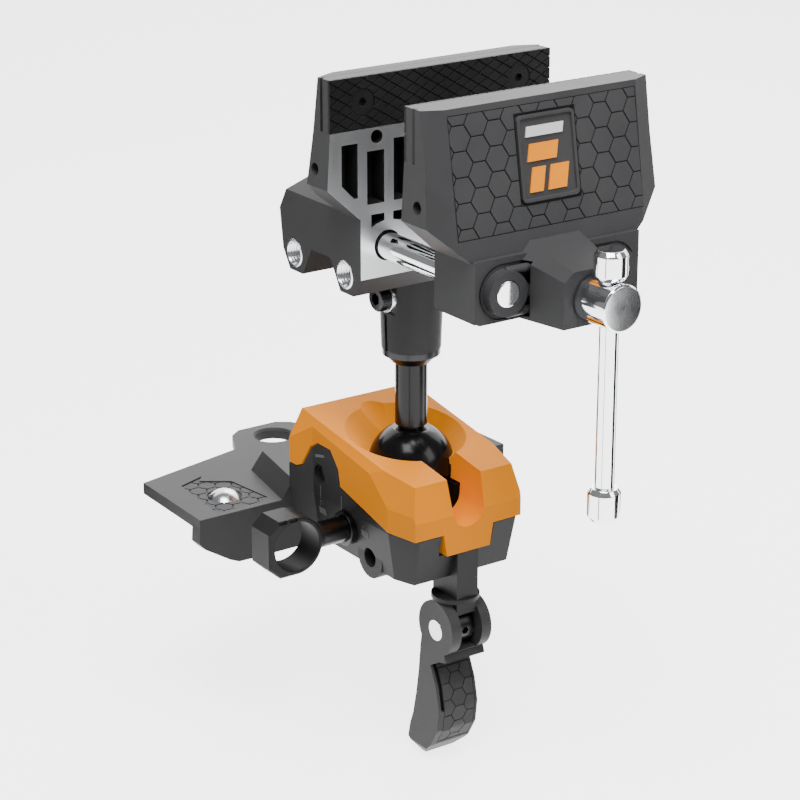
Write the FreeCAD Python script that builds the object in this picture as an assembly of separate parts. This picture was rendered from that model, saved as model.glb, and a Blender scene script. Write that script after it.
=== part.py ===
import FreeCAD, Part
import os
from math import cos, pi, radians, sin

V = FreeCAD.Vector

# ---- driving sizes, in millimetres ----
# The frame: x along the jaws, y towards the bench, z up.
# The origin lies under the bench plate, midway between its two bolts.
clear = 0.3            # gap between bodies that move past each other
slip = 0.05            # radial slip of a shaft in its hole

jaw_width = 127.0
jaw_top_z = 240.0
jaw_face_y = -97.0     # working face of the fixed jaw
jaw_gap = 59.5         # gap between the faces in the rest pose
insert_height = 25.0
insert_thick = 8.1
pad_thick = 1.6
insert_screw_x = 45.0
insert_screw_drop = 12.3
insert_head_r = 6.4
insert_shank_r = 3.0

flare_half = jaw_width / 2 + 1.6   # widest half width, below the insert
flare_drop = 51.7
block_half = 46.8
block_drop = 68.4
block_bottom = 97.8
block_thick = 30.6

rod_spacing = 63.0
rod_r = 6.5
rod_drop = 82.8
rod_front_y = jaw_face_y - 95.0
rod_rear_y = jaw_face_y + 80.0
screw_drop = 84.5
screw_r = 7.0
screw_head_r = 11.0
screw_head_length = 19.6
nose_front_y = jaw_face_y - 115.0
nut_r = 12.0
nut_length = 19.0
nut_front = 3.0
open_travel = 40.0

bar_r = 4.5
bar_length = 127.9
bar_knob_r = 7.75
bar_knob_height = 15.9
top_knob_height = 14.0

port_drop = 98.5
port_front = 14.1
port_rear = 58.5
port_outer_r = 7.2
port_inner_r = 5.0
port_depth = 12.0

column_y = jaw_face_y + 25.5
column_top_r = 16.6
column_end_r = 14.9
column_end_drop = 146.0
socket_r = 10.0
socket_top_drop = 106.0
ring_height = 3.6
cone_height = 4.4
stud_r = 8.1
ball_r = 22.0
ball_z = 31.5
clamp_screw_z = 121.8
clamp_head_r = 6.5
clamp_head_length = 5.2

plate_half = 95.2
plate_thick = 6.0
plate_front_y = -23.0
plate_rear_y = 38.2
tab_rear_y = 77.0
bolt_x = 67.2
bolt_r = 4.0
bolt_length = 18.0
flange_thick = 8.0
flange_bottom_z = -22.0
dock_top_z = 16.0

base_rear_y = plate_front_y - clear
base_bottom_z = -13.0
shell_top_z = 12.1
base_half = 34.0
base_front_y = -120.5
cover_gap = 0.5        # gap under the cover's lower edge
cover_half = 36.0
cover_rear_half = 42.4
cover_front_half = 31.7
side_front_y = -103.0
side_rear_y = -36.0
cover_front_y = -121.0
cover_rear_z = 53.7
cover_slope = 0.155
slot_half = 9.4
bowl_r = 30.0
cup_front_y = -96.2
cup_top_z = 25.4
hinge_y = -41.6
hinge_z = 24.0
hinge_pin_r = 4.0
hinge_hole_r = 5.0

post_half = 6.3
post_front_y = -120.5
post_rear_y = -99.8
post_bottom_z = -24.5
cam_y = -110.2
cam_z = -43.0
cam_pin_r = 5.5
cam_offset = 1.2
cam_rise = 0.6
cheek_outer = 12.1
grip_left = 8.6
grip_right = 10.6
cheek_inner = 6.2
drawbar_r = 4.2
eye_r = 8.6
washer_r = 12.2
washer_thick = 2.6
lever_bottom_z = -118.0

lock_y = -66.0
lock_z = 3.0
lock_r = 6.5
lock_core_r = 4.5
collar_r = 8.7
ring_x = -69.0
ring_half = 15.0
ring_hole_r = 12.9
ring_depth = 16.5
ring_bevel = 0.8
ring_shaft_x = ring_x + 16.6
tongue_half = 18.0
tongue_top_z = 1.5
tongue_bottom_z = -9.0
tongue_front_y = -84.0


# ---- small helpers ----
def box(x0, x1, y0, y1, z0, z1):
    return Part.makeBox(x1 - x0, y1 - y0, z1 - z0, V(x0, y0, z0))


def rod_x(x0, x1, y, z, r):
    return Part.makeCylinder(r, x1 - x0, V(x0, y, z), V(1, 0, 0))


def rod_y(y0, y1, x, z, r):
    return Part.makeCylinder(r, y1 - y0, V(x, y0, z), V(0, 1, 0))


def rod_z(z0, z1, x, y, r):
    return Part.makeCylinder(r, z1 - z0, V(x, y, z0), V(0, 0, 1))


def cone_y(y0, y1, x, z, r0, r1):
    return Part.makeCone(r0, r1, y1 - y0, V(x, y0, z), V(0, 1, 0))


def cone_z(z0, z1, x, y, r0, r1):
    return Part.makeCone(r0, r1, z1 - z0, V(x, y, z0), V(0, 0, 1))


def prism(points, direction):
    wire = Part.makePolygon([V(*p) for p in points + points[:1]])
    return Part.Face(wire).extrude(V(*direction))


def prism_x(yz, x0, x1):
    return prism([(x0, y, z) for y, z in yz], (x1 - x0, 0, 0))


def prism_y(xz, y0, y1):
    return prism([(x, y0, z) for x, z in xz], (0, y1 - y0, 0))


def prism_z(xy, z0, z1):
    return prism([(x, y, z0) for x, y in xy], (0, 0, z1 - z0))


def loft(sections):
    wires = [Part.makePolygon([V(*p) for p in s + s[:1]]) for s in sections]
    return Part.makeLoft(wires, True, True)


def both_sides(xz):
    return xz + [(-x, z) for x, z in reversed(xz)]


def shave(shape, point, outward):
    """Removes what lies beyond a plane."""
    size = 600.0
    block = Part.makeBox(size, size, size, V(-size / 2, -size / 2, 0))
    turn = FreeCAD.Rotation(V(0, 0, 1), V(*outward))
    block.Placement = FreeCAD.Placement(V(*point), turn)
    return shape.cut(block)


def shave_both(shape, point, outward):
    shape = shave(shape, point, outward)
    return shave(shape, (-point[0], point[1], point[2]), (-outward[0], outward[1], outward[2]))


def join(shapes):
    whole = shapes[0]
    if len(shapes) > 1:
        whole = whole.fuse(shapes[1:])
    return whole.removeSplitter()


def save(name, shape):
    if not isinstance(shape, Part.Compound) and len(shape.Solids) == 1:
        shape = shape.Solids[0]
    shape.exportStep("parts/%s.step" % name)
    print(name, len(shape.Solids), shape.isValid(), round(shape.Volume))


def drop(amount):
    """Height of a point measured down from the top of the jaws."""
    return jaw_top_z - amount


# ---- the two jaws ----
def jaw_slab(thick_top, thick_flare, end_chamfer, undercut):
    """A jaw with its face on y = 0 and its back towards +y."""
    outline = both_sides([
        (jaw_width / 2, drop(0)),
        (jaw_width / 2, drop(insert_height)),
        (flare_half, drop(flare_drop)),
        (block_half, drop(block_drop)),
        (block_half, drop(block_bottom - 2)),
    ])
    slab = prism_y(outline, 0, thick_flare + 12)
    rise = flare_drop / (thick_flare - thick_top)
    slab = shave(slab, (0, thick_top, drop(0)), (0, rise, 1))
    if undercut:
        slab = shave(slab, (0, thick_flare, drop(flare_drop + 5)), (0, 1.6, -1))
    slab = shave(slab, (0, block_thick, 0), (0, 1, 0))
    corner = thick_top - end_chamfer
    slab = shave_both(slab, (jaw_width / 2, corner, drop(0)), (0.45, 1, 0.16))
    rebate = box(-flare_half, flare_half, -1, insert_thick, drop(insert_height), drop(-1))
    return slab.cut(rebate)


def to_movable(shape):
    """Turns a jaw part to face the fixed jaw across the gap."""
    shape = shape.mirror(V(0, 0, 0), V(0, 1, 0))
    shape.translate(V(0, jaw_face_y - jaw_gap, 0))
    return shape


def to_fixed(shape):
    shape = shape.copy()
    shape.translate(V(0, jaw_face_y, 0))
    return shape


def jaw_insert():
    """Backing bar of the jaw lining."""
    back = insert_thick
    bar = box(-jaw_width / 2, jaw_width / 2, pad_thick, back, drop(insert_height), drop(0))
    bar = shave_both(bar, (jaw_width / 2, back - 2.0, 0), (1, 1.2, 0))
    for x in (-insert_screw_x, insert_screw_x):
        bar = bar.cut(rod_y(-1, back + 1, x, drop(insert_screw_drop), insert_shank_r + slip))
        bar = bar.cut(insert_screw_sink(x, slip))
    return bar


def jaw_pad():
    pad = box(-jaw_width / 2, jaw_width / 2, 0, pad_thick, drop(insert_height), drop(0))
    for x in (-insert_screw_x, insert_screw_x):
        pad = pad.cut(rod_y(-1, back_of_pad(), x, drop(insert_screw_drop), insert_head_r + slip))
    return pad


def back_of_pad():
    return pad_thick + 1


def insert_screw_sink(x, extra):
    z = drop(insert_screw_drop)
    return cone_y(pad_thick - 0.01, pad_thick + 3.4, x, z, insert_head_r + extra, insert_shank_r + extra)


def insert_screws():
    """Two countersunk hexagon socket screws."""
    screws = []
    z = drop(insert_screw_drop)
    for x in (-insert_screw_x, insert_screw_x):
        head = rod_y(0.4, pad_thick, x, z, insert_head_r)
        cone = cone_y(pad_thick, pad_thick + 3.4, x, z, insert_head_r, insert_shank_r)
        shank = rod_y(pad_thick + 3.4, insert_thick + 3.0, x, z, insert_shank_r)
        socket = prism_y([(x + 2.3 * cos(a * pi / 3), z + 2.3 * sin(a * pi / 3)) for a in range(6)], 0, 2.6)
        screws.append(join([head, cone, shank]).cut(socket))
    return Part.makeCompound(screws)


def drill_insert_screws(jaw):
    for x in (-insert_screw_x, insert_screw_x):
        z = drop(insert_screw_drop)
        jaw = jaw.cut(rod_y(0, insert_thick + 3.2, x, z, insert_shank_r + slip))
    return jaw


def jaw_windows():
    """Lightening pockets in the face of the fixed jaw."""
    depth = 11.0
    left = [
        [(57.2, 31.3), (48.3, 31.3), (48.3, 57.5), (50.4, 57.5), (57.2, 50.5)],
        [(43.0, 36.0), (33.4, 36.0), (33.4, 61.5), (43.0, 61.5)],
        [(28.0, 31.5), (18.5, 31.5), (18.5, 61.4), (28.0, 61.4)],
        [(13.0, 31.5), (3.5, 31.5), (3.5, 61.4), (13.0, 61.4)],
        [(40.8, 66.7), (33.4, 66.7), (33.4, 70.3), (38.0, 71.5), (40.8, 73.0)],
        [(28.3, 66.7), (18.5, 66.7), (18.5, 71.5), (24.5, 71.5), (28.3, 70.6)],
    ]
    cuts = []
    for loop in left:
        for side in (-1, 1):
            cuts.append(prism_y([(side * x, drop(z)) for x, z in loop], -1, depth))
    for side in (-1, 1):
        cuts.append(rod_y(-1, depth, side * 37.6, drop(29.4), 3.2))
    return cuts


def ear_block():
    """The guide block behind the fixed jaw, in jaw coordinates."""
    side = [
        (0, -68.4), (0, -97.9), (6.7, -107.5), (17.9, -107.5), (26.4, -93.0), (43.1, -93.0),
        (51.1, -107.4), (62.5, -107.4), (68.6, -97.8), (71.3, -78.1), (25.0, -68.5),
    ]
    cheeks = prism_x([(y, jaw_top_z + z) for y, z in side], -block_half, block_half)
    crown = prism_x([(y, drop(z)) for y, z in [(0, 68.0), (71.3, 78.1), (62.0, 62.0), (20.0, 52.0), (0, 52.0)]],
                    -block_half, block_half)
    crown = shave_both(crown, (block_half, 0, drop(67.6)), (0.5, 0.0, 1))
    return [cheeks, crown]


def fixed_jaw_body():
    column = cone_z(drop(column_end_drop), drop(92.0), 0, 25.5, column_end_r, column_top_r)
    collar = cone_z(drop(107.4), drop(92.0), 0, 25.5, 16.3, 19.0)
    body = join([jaw_slab(15.0, 24.0, 5.0, True)] + ear_block() + [column, collar])
    body = body.cut(jaw_windows())
    body = drill_insert_screws(body)
    cuts = []
    for side in (-1, 1):
        x = side * rod_spacing / 2
        cuts.append(rod_y(-1, 80, x, drop(rod_drop), rod_r + slip))
        cuts.append(rod_y(-1, 3.0, x, drop(rod_drop), rod_r + 1.0))
        cuts.append(rod_x(min(side * 58, side * 70), max(side * 58, side * 70), 11.5, drop(43.5), 3.0))
        for y in (port_front, port_rear):
            start = side * (block_half - port_depth)
            end = side * (block_half + 2)
            cuts.append(rod_x(min(start, end), max(start, end), y, drop(port_drop), port_outer_r))
    cuts.append(rod_y(nut_front, 80, 0, drop(screw_drop), nut_r))
    cuts.append(rod_y(-1, nut_front + 1, 0, drop(screw_drop), screw_r + 0.4))
    cuts.append(rod_z(drop(column_end_drop) - 1, drop(socket_top_drop), 0, 25.5, socket_r + slip))
    cuts.append(rod_x(-22, 0, 25.5, clamp_screw_z, 4.0 + slip))
    cuts.append(box(-22, -14.0, 25.5 - 8, 25.5 + 8, clamp_screw_z - 8, clamp_screw_z + 8))
    cuts.append(box(-22, -10, 25.5 - 1, 25.5 + 1, drop(column_end_drop) - 1, clamp_screw_z - 9))
    return to_fixed(body.cut(cuts))


def nose():
    """Screw boss on the front of the movable jaw, in jaw coordinates."""
    reach = jaw_face_y - jaw_gap - nose_front_y
    back = both_sides([(14.5, drop(61.6)), (22.0, drop(68.5)), (22.0, drop(97.2))])
    front = both_sides([(11.0, drop(71.2)), (16.0, drop(75.4)), (16.0, drop(97.2))])
    return loft([[(x, 24.0, z) for x, z in back], [(x, reach, z) for x, z in front]])


def movable_jaw_body():
    lower = prism_y(both_sides([(block_half, drop(67.0)), (block_half, drop(95.0)), (44.0, drop(96.8))]), 0, block_thick)
    step = shave(lower, (0, 25.5, drop(57.2)), (0, 1, 0.55))
    rod_end = jaw_face_y - jaw_gap - rod_front_y
    parts = [jaw_slab(16.5, 25.5, 4.5, False), step, nose()]
    for side in (-1, 1):
        x = side * rod_spacing / 2
        parts.append(cone_y(20, rod_end, x, drop(rod_drop), 11.6, 10.6))
    body = join(parts)
    body = drill_insert_screws(body)
    cuts = []
    for side in (-1, 1):
        x = side * rod_spacing / 2
        cuts.append(rod_y(-1, rod_end + 1, x, drop(rod_drop), rod_r))
        cuts.append(rod_x(min(side * 58, side * 70), max(side * 58, side * 70), 11.5, drop(43.5), 3.0))
    reach = jaw_face_y - jaw_gap - nose_front_y
    cuts.append(rod_y(-1, reach + 1, 0, drop(screw_drop), screw_r + 0.6))
    cuts.append(rod_y(-1, 9.0, 0, drop(screw_drop), 11.0))
    cuts.append(badge_slot())
    return to_movable(body.cut(cuts))


def badge_slot():
    """A shallow seat for the badge, square to the sloping front of the jaw."""
    return tilted_plate(16.4 + slip, 20.0 + slip, 1.6, 6.0)


def tilted_plate(half_x, half_z, depth, proud):
    rise = (25.5 - 16.5) / flare_drop
    z = drop(27.0)
    y = 16.5 + rise * 27.0
    plate = box(-half_x, half_x, -depth, proud, -half_z, half_z)
    angle = -180.0 / pi * rise
    plate.Placement = FreeCAD.Placement(V(0, y, z), FreeCAD.Rotation(V(1, 0, 0), -angle))
    return plate


def badge_plate():
    return to_movable(tilted_plate(16.4, 20.0, 1.6, 1.0))


# ---- guide rods, screw and handle ----
def guide_rods():
    rods = []
    for x in (-rod_spacing / 2, rod_spacing / 2):
        rods.append(rod_y(rod_front_y, rod_rear_y, x, drop(rod_drop), rod_r))
    return Part.makeCompound(rods)


def lead_nut():
    start = jaw_face_y + nut_front
    nut = rod_y(start, start + nut_length, 0, drop(screw_drop), nut_r)
    return nut.cut(rod_y(start - 1, start + nut_length + 1, 0, drop(screw_drop), screw_r + slip))


def screw_rear_y():
    return jaw_face_y + nut_front + nut_length + open_travel + 5.0


def lead_screw():
    """Screw with its drilled chrome head."""
    z = drop(screw_drop)
    start = nose_front_y - 0.9
    body = rod_y(start, screw_rear_y(), 0, z, screw_r)
    head = rod_y(start - screw_head_length, start, 0, z, screw_head_r)
    bevel = cone_y(start - screw_head_length - 0.8, start - screw_head_length, 0, z, screw_head_r - 0.8, screw_head_r)
    whole = join([body, head, bevel])
    groove = rod_y(screw_rear_y() - 4, screw_rear_y() - 2.4, 0, z, screw_r + 1)
    groove = groove.cut(rod_y(screw_rear_y() - 5, screw_rear_y(), 0, z, screw_r - 0.8))
    return whole.cut([groove, rod_z(z - 20, z + 20, 0, bar_y(), bar_r + slip)])


def bar_y():
    return nose_front_y - 0.9 - screw_head_length / 2 - 1.2


def tube_y(y0, y1, z, outer, inner):
    return rod_y(y0, y1, 0, z, outer).cut(rod_y(y0 - 1, y1 + 1, 0, z, inner))


def thrust_washer():
    return tube_y(nose_front_y - 0.9, nose_front_y - clear, drop(screw_drop), 9.8, screw_r)


def thrust_collar():
    """Pinned collar behind the nose; it pulls the jaw open."""
    front = jaw_face_y - jaw_gap - 9.0 + clear
    return tube_y(front, front + 6.0, drop(screw_drop), 10.4, screw_r)


def screw_end_ring():
    return tube_y(screw_rear_y() - 4, screw_rear_y() - 2.4, drop(screw_drop), 9.4, screw_r - 0.8)


def bar_top_z():
    return drop(screw_drop) + screw_head_r + 0.2 + top_knob_height


def tommy_bar():
    low = bar_top_z() - bar_length + 4.0
    return rod_z(low, bar_top_z() - 4.0, 0, bar_y(), bar_r)


def knob(z0, z1):
    bevel = 2.4
    parts = [
        cone_z(z0, z0 + bevel, 0, bar_y(), bar_knob_r - 1.6, bar_knob_r),
        rod_z(z0 + bevel, z1 - bevel, 0, bar_y(), bar_knob_r),
        cone_z(z1 - bevel, z1, 0, bar_y(), bar_knob_r, bar_knob_r - 1.6),
    ]
    return join(parts)


def tommy_knobs():
    top = knob(bar_top_z() - top_knob_height, bar_top_z())
    low = bar_top_z() - bar_length
    bottom = knob(low, low + bar_knob_height)
    bar = tommy_bar()
    return Part.makeCompound([top.cut(bar), bottom.cut(bar)])


# ---- fittings on the head ----
def accessory_inserts():
    """Threaded steel bushes pressed into the guide block."""
    bushes = []
    for side in (-1, 1):
        for y in (port_front, port_rear):
            start = side * (block_half - port_depth)
            end = side * (block_half + 0.2)
            low, high = min(start, end), max(start, end)
            bush = rod_x(low, high, jaw_face_y + y, drop(port_drop), port_outer_r)
            bushes.append(bush.cut(rod_x(low - 1, high + 1, jaw_face_y + y, drop(port_drop), port_inner_r)))
    return Part.makeCompound(bushes)


def column_clamp_screw():
    tip = rod_x(-14.0, -11.0, column_y, clamp_screw_z, 4.0)
    head = rod_x(-16.2 - clamp_head_length, -16.2, column_y, clamp_screw_z, clamp_head_r)
    neck = rod_x(-16.2, -14.0, column_y, clamp_screw_z, 4.0)
    low = -16.2 - clamp_head_length
    hexagon = [(low, column_y + 3.4 * cos(a * pi / 3), clamp_screw_z + 3.4 * sin(a * pi / 3)) for a in range(6)]
    return join([tip, head, neck]).cut(prism(hexagon, (4.5, 0, 0)))


def clamp_washer():
    ring = rod_x(-16.2, -14.0, column_y, clamp_screw_z, 7.6)
    return ring.cut(rod_x(-17, -13, column_y, clamp_screw_z, 4.0))


def column_ring():
    """Black bearing ring that closes the end of the column."""
    top = drop(column_end_drop)
    ring = rod_z(top - ring_height, top, 0, column_y, column_end_r - 0.4)
    taper = cone_z(top - ring_height - cone_height, top - ring_height, 0, column_y, stud_r + 1.2, column_end_r - 1.6)
    return join([ring, taper]).cut(rod_z(top - 20, top + 1, 0, column_y, stud_r + slip))


def ball_neck_z():
    return ball_z + ball_r * 0.9


def stud_shaft():
    """The turned stud between the ball and the column."""
    shoulder = drop(column_end_drop) + clear
    low = ball_neck_z() - 8.0
    parts = [
        rod_z(low, ball_neck_z() + 2.0, 0, column_y, stud_r - 1.6),
        rod_z(ball_neck_z() + 2.0, shoulder, 0, column_y, stud_r),
        rod_z(shoulder, drop(socket_top_drop) - 1.0, 0, column_y, socket_r),
    ]
    groove_z = clamp_screw_z
    groove = rod_z(groove_z - 4.4, groove_z + 4.4, 0, column_y, socket_r + 1)
    groove = groove.cut(rod_z(groove_z - 5, groove_z + 5, 0, column_y, socket_r - 1.0))
    return join(parts).cut([groove, rod_z(low - 1, low + 5, 0, column_y, 2.5)])


def ball():
    sphere = Part.makeSphere(ball_r, V(0, column_y, ball_z))
    sphere = shave(sphere, (0, 0, ball_neck_z()), (0, 0, 1))
    return sphere.cut(rod_z(ball_neck_z() - 8.0, ball_z + 40, 0, column_y, stud_r - 1.6))


# ---- the ball clamp ----
def cover_top(y):
    return cover_rear_z - cover_slope * (plate_front_y - y)


def cover_outer():
    """Faceted outside of the hinged cover, before the openings."""
    lip = [(-13.0, 1.0), (13.0, 1.0), (15.0, 12.6), (40.0, 12.8), (40.0, 60.0), (-40.0, 60.0), (-40.0, 12.8),
           (-15.0, 12.6)]
    shape = box(-cover_rear_half, cover_rear_half, cover_front_y, base_rear_y, 1.0, 60.0)
    top = [0.0, -cover_slope, 1.0]
    shape = shave(shape, (0, base_rear_y, cover_rear_z), top)
    plan = [(cover_half, side_front_y), (cover_half, side_rear_y), (cover_rear_half, base_rear_y + 1)]
    front = (cover_front_half, cover_front_y - 1)
    loop = [front] + plan + [(-x, y) for x, y in reversed(plan)] + [(-front[0], front[1])]
    shape = shape.common(prism_z(loop, 0, 70))
    shape = shave_both(shape, (34.0, base_rear_y, cover_rear_z), (1.0, -0.10, 0.565))
    shape = shave_both(shape, (cover_front_half, cover_front_y, 26.0), (1.0, -0.23, 0.27))
    shape = shave(shape, (0, -116.5, cover_top(-116.5)), (0, -1.0, 0.26))
    keep = prism_y(lip, cover_front_y - 1, -96.0)
    rear = box(-60, 60, -96.0, 0, 1.0, 80)
    return shape.common(join([keep, rear]))


def side_line(gap):
    """Lower edge of the cover seen from the side, with the arch over each tab."""
    line = [
        (base_rear_y + 1, 26.8), (-27.0, 25.2), (-29.8 - gap, 26.2), (-34.7 - gap, 37.0), (-40.4, 40.4),
        (-52.3, 40.4), (-59.5 + gap, 32.0), (-61.2 + gap, 23.4), (side_front_y, 13.0), (cover_front_y - 2, 12.7),
    ]
    return [(y, z - gap) for y, z in line]


def cover_skirt_cut():
    """Everything below the lower edge, leaving the front lip alone."""
    loop = side_line(0.0) + [(cover_front_y - 2, -20.0), (base_rear_y + 1, -20.0)]
    sides = [box(-28.4, 28.4, -30.5, base_rear_y + 1, -20.0, 27.0)]
    for x0, x1 in ((-60, -28.3), (28.3, 60)):
        sides.append(prism_x(loop, x0, x1))
    return sides


def slot_tool(extra):
    """The path of the stud when the head folds forward."""
    low = 23.5
    half = slot_half + extra
    channel = [rod_y(cover_front_y - 20, column_y, 0, low, half)]
    wide = [(-half, low), (half, low), (half + 3.6, 90.0), (-half - 3.6, 90.0)]
    channel.append(prism_y(wide, cover_front_y - 20, column_y))
    return join(channel)


def rear_groove():
    direction = V(0, cos(radians(35)), sin(radians(35)))
    return Part.makeCylinder(11.0, 90, V(0, column_y, ball_z + 6), direction)


def lug_half():
    return 17.0


def clamp_cover():
    """Hinged orange cover that presses the ball into its cup."""
    body = cover_outer().cut(cover_skirt_cut())
    seat_low = ball_z + 3.6
    hollow = box(-28.3, 28.3, -100.3, -30.0, -20, 28.2)
    centre = V(0, column_y, ball_z)
    upper_ball = Part.makeSphere(ball_r + slip, centre)
    lower_ball = Part.makeSphere(ball_r + 1.0, centre).common(box(-40, 40, -140, 0, -20, seat_low))
    rim_z = cover_top(column_y)
    cone_low = ball_z + 6.5
    flare = (bowl_r - 21.4) / (rim_z - cone_low)
    bowl = cone_z(cone_low, rim_z + 8, 0, column_y, 21.4, bowl_r + 8 * flare)
    tools = [hollow, upper_ball, lower_ball, bowl, slot_tool(0.0), rear_groove()]
    body = body.cut(tools)
    lug = box(-lug_half(), lug_half(), hinge_y - 6.6, hinge_y + 8.0, hinge_z - 7.0, 30.0)
    lug = lug.cut([lower_ball, upper_ball])
    body = join([body, lug])
    head_slot = box(-post_half, post_half, cam_y - 5.2, cam_y + 5.2, 3.6, 9.4)
    stem = rod_z(-5, 9.0, 0, cam_y, drawbar_r + 0.6)
    entry = box(-drawbar_r - 0.6, drawbar_r + 0.6, cam_y, -90, -5, 9.4)
    trim_back = box(-20, 20, -102.6, -96, -5, 12.9)
    body = body.cut([rod_x(-40, 40, hinge_y, hinge_z, hinge_pin_r + slip), trim_back, head_slot, stem, entry])
    return body


def body_section(z, inset):
    """Plan outline of the base at one height."""
    front = base_front_y + inset * 1.6
    half = base_half + 1.6 - inset
    right = [
        (29.3 - inset * 0.3, front, z), (half, side_front_y, z), (half, side_rear_y, z),
        (cover_rear_half - 0.3 - inset, base_rear_y, z),
    ]
    return right + [(-x, y, z) for x, y, z in reversed(right)]


def base_body():
    """Lower casting with the ball cup, the tabs and the square post."""
    shell = loft([body_section(base_bottom_z, 3.6), body_section(shell_top_z, 0.0)])
    upper = prism_z([(x, y) for x, y, z in body_section(shell_top_z, 0.0)], shell_top_z, 40.0)
    below = prism_x(side_line(cover_gap) + [(cover_front_y - 2, 11.0), (base_rear_y + 1, 11.0)], -60, 60)
    upper = upper.common(below)
    body = join([shell, upper])
    body = body.cut(box(-28.6, 28.6, -130, -60.8, shell_top_z, 60))
    trench = box(-lug_half() - 0.4, lug_half() + 0.4, hinge_y - 7.2, hinge_y + 8.6, hinge_z - 8.0, 60)
    well = box(-28.6, 28.6, -60.9, -29.4, 24.0, 60)
    body = body.cut([well, trench])
    bosses = []
    for side in (-1, 1):
        end = side * (base_half - 1.0)
        start = side * 18.0
        bosses.append(rod_x(min(start, end), max(start, end), -83.0, -8.2, 10.6))
    body = join([body] + bosses)
    body = shave(body, (0, -48.0, base_bottom_z), (0, 0.55, -1.0))
    post = box(-post_half, post_half, post_front_y, post_rear_y, post_bottom_z, 0.6)
    body = join([body, post])
    lip_room = box(-15.8, 15.8, cover_front_y - 3, -101.9, 0.6, 60)
    lip_room = join([lip_room, box(-15.8, 15.8, -102.0, -99.9, 9.8, 60)])
    cup = Part.makeSphere(ball_r + slip, V(0, column_y, ball_z))
    cuts = [lip_room, cup, slot_tool(0.4)]
    cuts.append(rod_z(post_bottom_z - 1, 20, 0, cam_y, drawbar_r + slip))
    cuts.append(rod_x(-50, 50, hinge_y, hinge_z, hinge_hole_r).cut(box(-33.4, 33.4, -60, -30, 0, 40)))
    cuts.append(rod_x(-50, 50, hinge_y, hinge_z, hinge_pin_r))
    cuts.append(rod_x(-50, 22.0, lock_y, lock_z, lock_core_r + slip))
    cuts.append(rod_x(-50, -base_half + 4.0, lock_y, lock_z, lock_r + slip))
    cuts.append(rod_x(-50, -base_half + 2.0, lock_y, lock_z, collar_r))
    for side in (-1, 1):
        end = side * 50
        start = side * 24.0
        cuts.append(rod_x(min(start, end), max(start, end), -83.0, -8.0, 5.0))
    room = box(-tongue_half - slip, tongue_half + slip, tongue_front_y - 0.1, 0, tongue_bottom_z - slip,
               tongue_top_z + slip)
    cuts.append(room)
    return body.cut(cuts)


def cup_pads():
    """The two pads that carry the ball in the base, left and right of the stud's slot."""
    pads = []
    for side in (-1, 1):
        low, high = sorted((side * (slot_half + 0.4), side * (ball_r + 5.9)))
        pad = box(low, high, cup_front_y, -62.0, shell_top_z, cup_top_z)
        pads.append(pad.cut([Part.makeSphere(ball_r + slip, V(0, column_y, ball_z)), slot_tool(0.4)]))
    return Part.makeCompound(pads)


def cover_pin():
    return rod_x(-33.0, 33.0, hinge_y, hinge_z, hinge_pin_r)


# ---- drawbar, cam and lever ----
def eye_top():
    return cam_z + eye_r


def drawbar():
    """T-headed pull rod with an eye for the cam pin."""
    head = box(-post_half + 0.3, post_half - 0.3, cam_y - 4.8, cam_y + 4.8, 4.0, 9.0)
    stem = rod_z(cam_z + 4.0, 5.0, 0, cam_y, drawbar_r)
    eye = rod_x(-5.8, 5.8, cam_y, cam_z, eye_r)
    whole = join([head, stem, eye])
    return whole.cut(rod_x(-10, 10, cam_y, cam_z, cam_pin_r))


def cam_washer():
    """Pressure washer under the square post, with its foot between the cheeks."""
    top = post_bottom_z
    ring = rod_z(top - washer_thick, top, 0, cam_y, washer_r)
    half = cheek_inner - clear
    foot = box(-half, half, cam_y - 9.5, cam_y + 9.5, eye_top() + cam_rise + clear, top - 1)
    return join([ring, foot]).cut(rod_z(eye_top() - 1, top + 1, 0, cam_y, drawbar_r + slip))


def cam_top():
    return post_bottom_z - washer_thick - clear


def lever_side():
    """Side outline of the lever below the cam."""
    return [
        (-117.0, -52.5), (-119.0, -58.0), (-112.5, -59.5), (-106.0, -64.0), (-111.0, -75.0), (-113.5, -87.0),
        (-112.0, -99.0), (-106.0, -109.5), (-97.5, -117.4), (-93.5, lever_bottom_z), (-86.6, -111.0),
        (-88.4, -103.0), (-91.0, -96.0), (-93.6, -84.0), (-95.8, -70.0), (-97.2, -56.0), (-98.4, -48.0),
    ]


def cam_lever():
    """Eccentric cheeks and the hanging handle in one casting."""
    offset_z = cam_z + cam_offset
    r = cam_top() - offset_z
    cheeks = rod_x(-cheek_outer, cheek_outer, cam_y, offset_z, r)
    body = join([cheeks, lever_paddle()])
    gap = box(-cheek_inner, cheek_inner, cam_y - 30, cam_y + 30, cam_z - 9.6, cam_z + 30)
    bore = rod_x(-20, 20, cam_y, cam_z, cam_pin_r + slip)
    return body.cut([gap, bore, grip_band(), rail_recess()])


def lever_paddle():
    paddle = prism_x(lever_side(), -cheek_outer, cheek_outer)
    paddle = shave_both(paddle, (cheek_outer, 0, -52.0), (1.0, 0, 0.045))
    return shave_both(paddle, (9.6, 0, -116.0), (1.0, 0, -0.75))


def grip_band():
    """The front layer of the handle that the grip takes up."""
    front = [(-107.4, -66.0), (-111.0, -75.0), (-113.5, -87.0), (-112.0, -99.0), (-107.2, -108.0)]
    inner = [(y + 1.7, z) for y, z in front]
    return prism_x(inner + [(-125.0, -108.0), (-125.0, -66.0)], -grip_left, grip_right)


def rail_recess():
    """Deep channel between the grip and the left rail of the handle."""
    return box(-grip_left - 1.9, -grip_left + 0.01, -125, -101.5, -88.0, -63.5)


def lever_grip():
    """Soft patterned panel let into the lever."""
    return lever_paddle().common(grip_band())


def cam_pin():
    return rod_x(-cheek_outer - 0.2, cheek_outer + 0.2, cam_y, cam_z, cam_pin_r)


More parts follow.
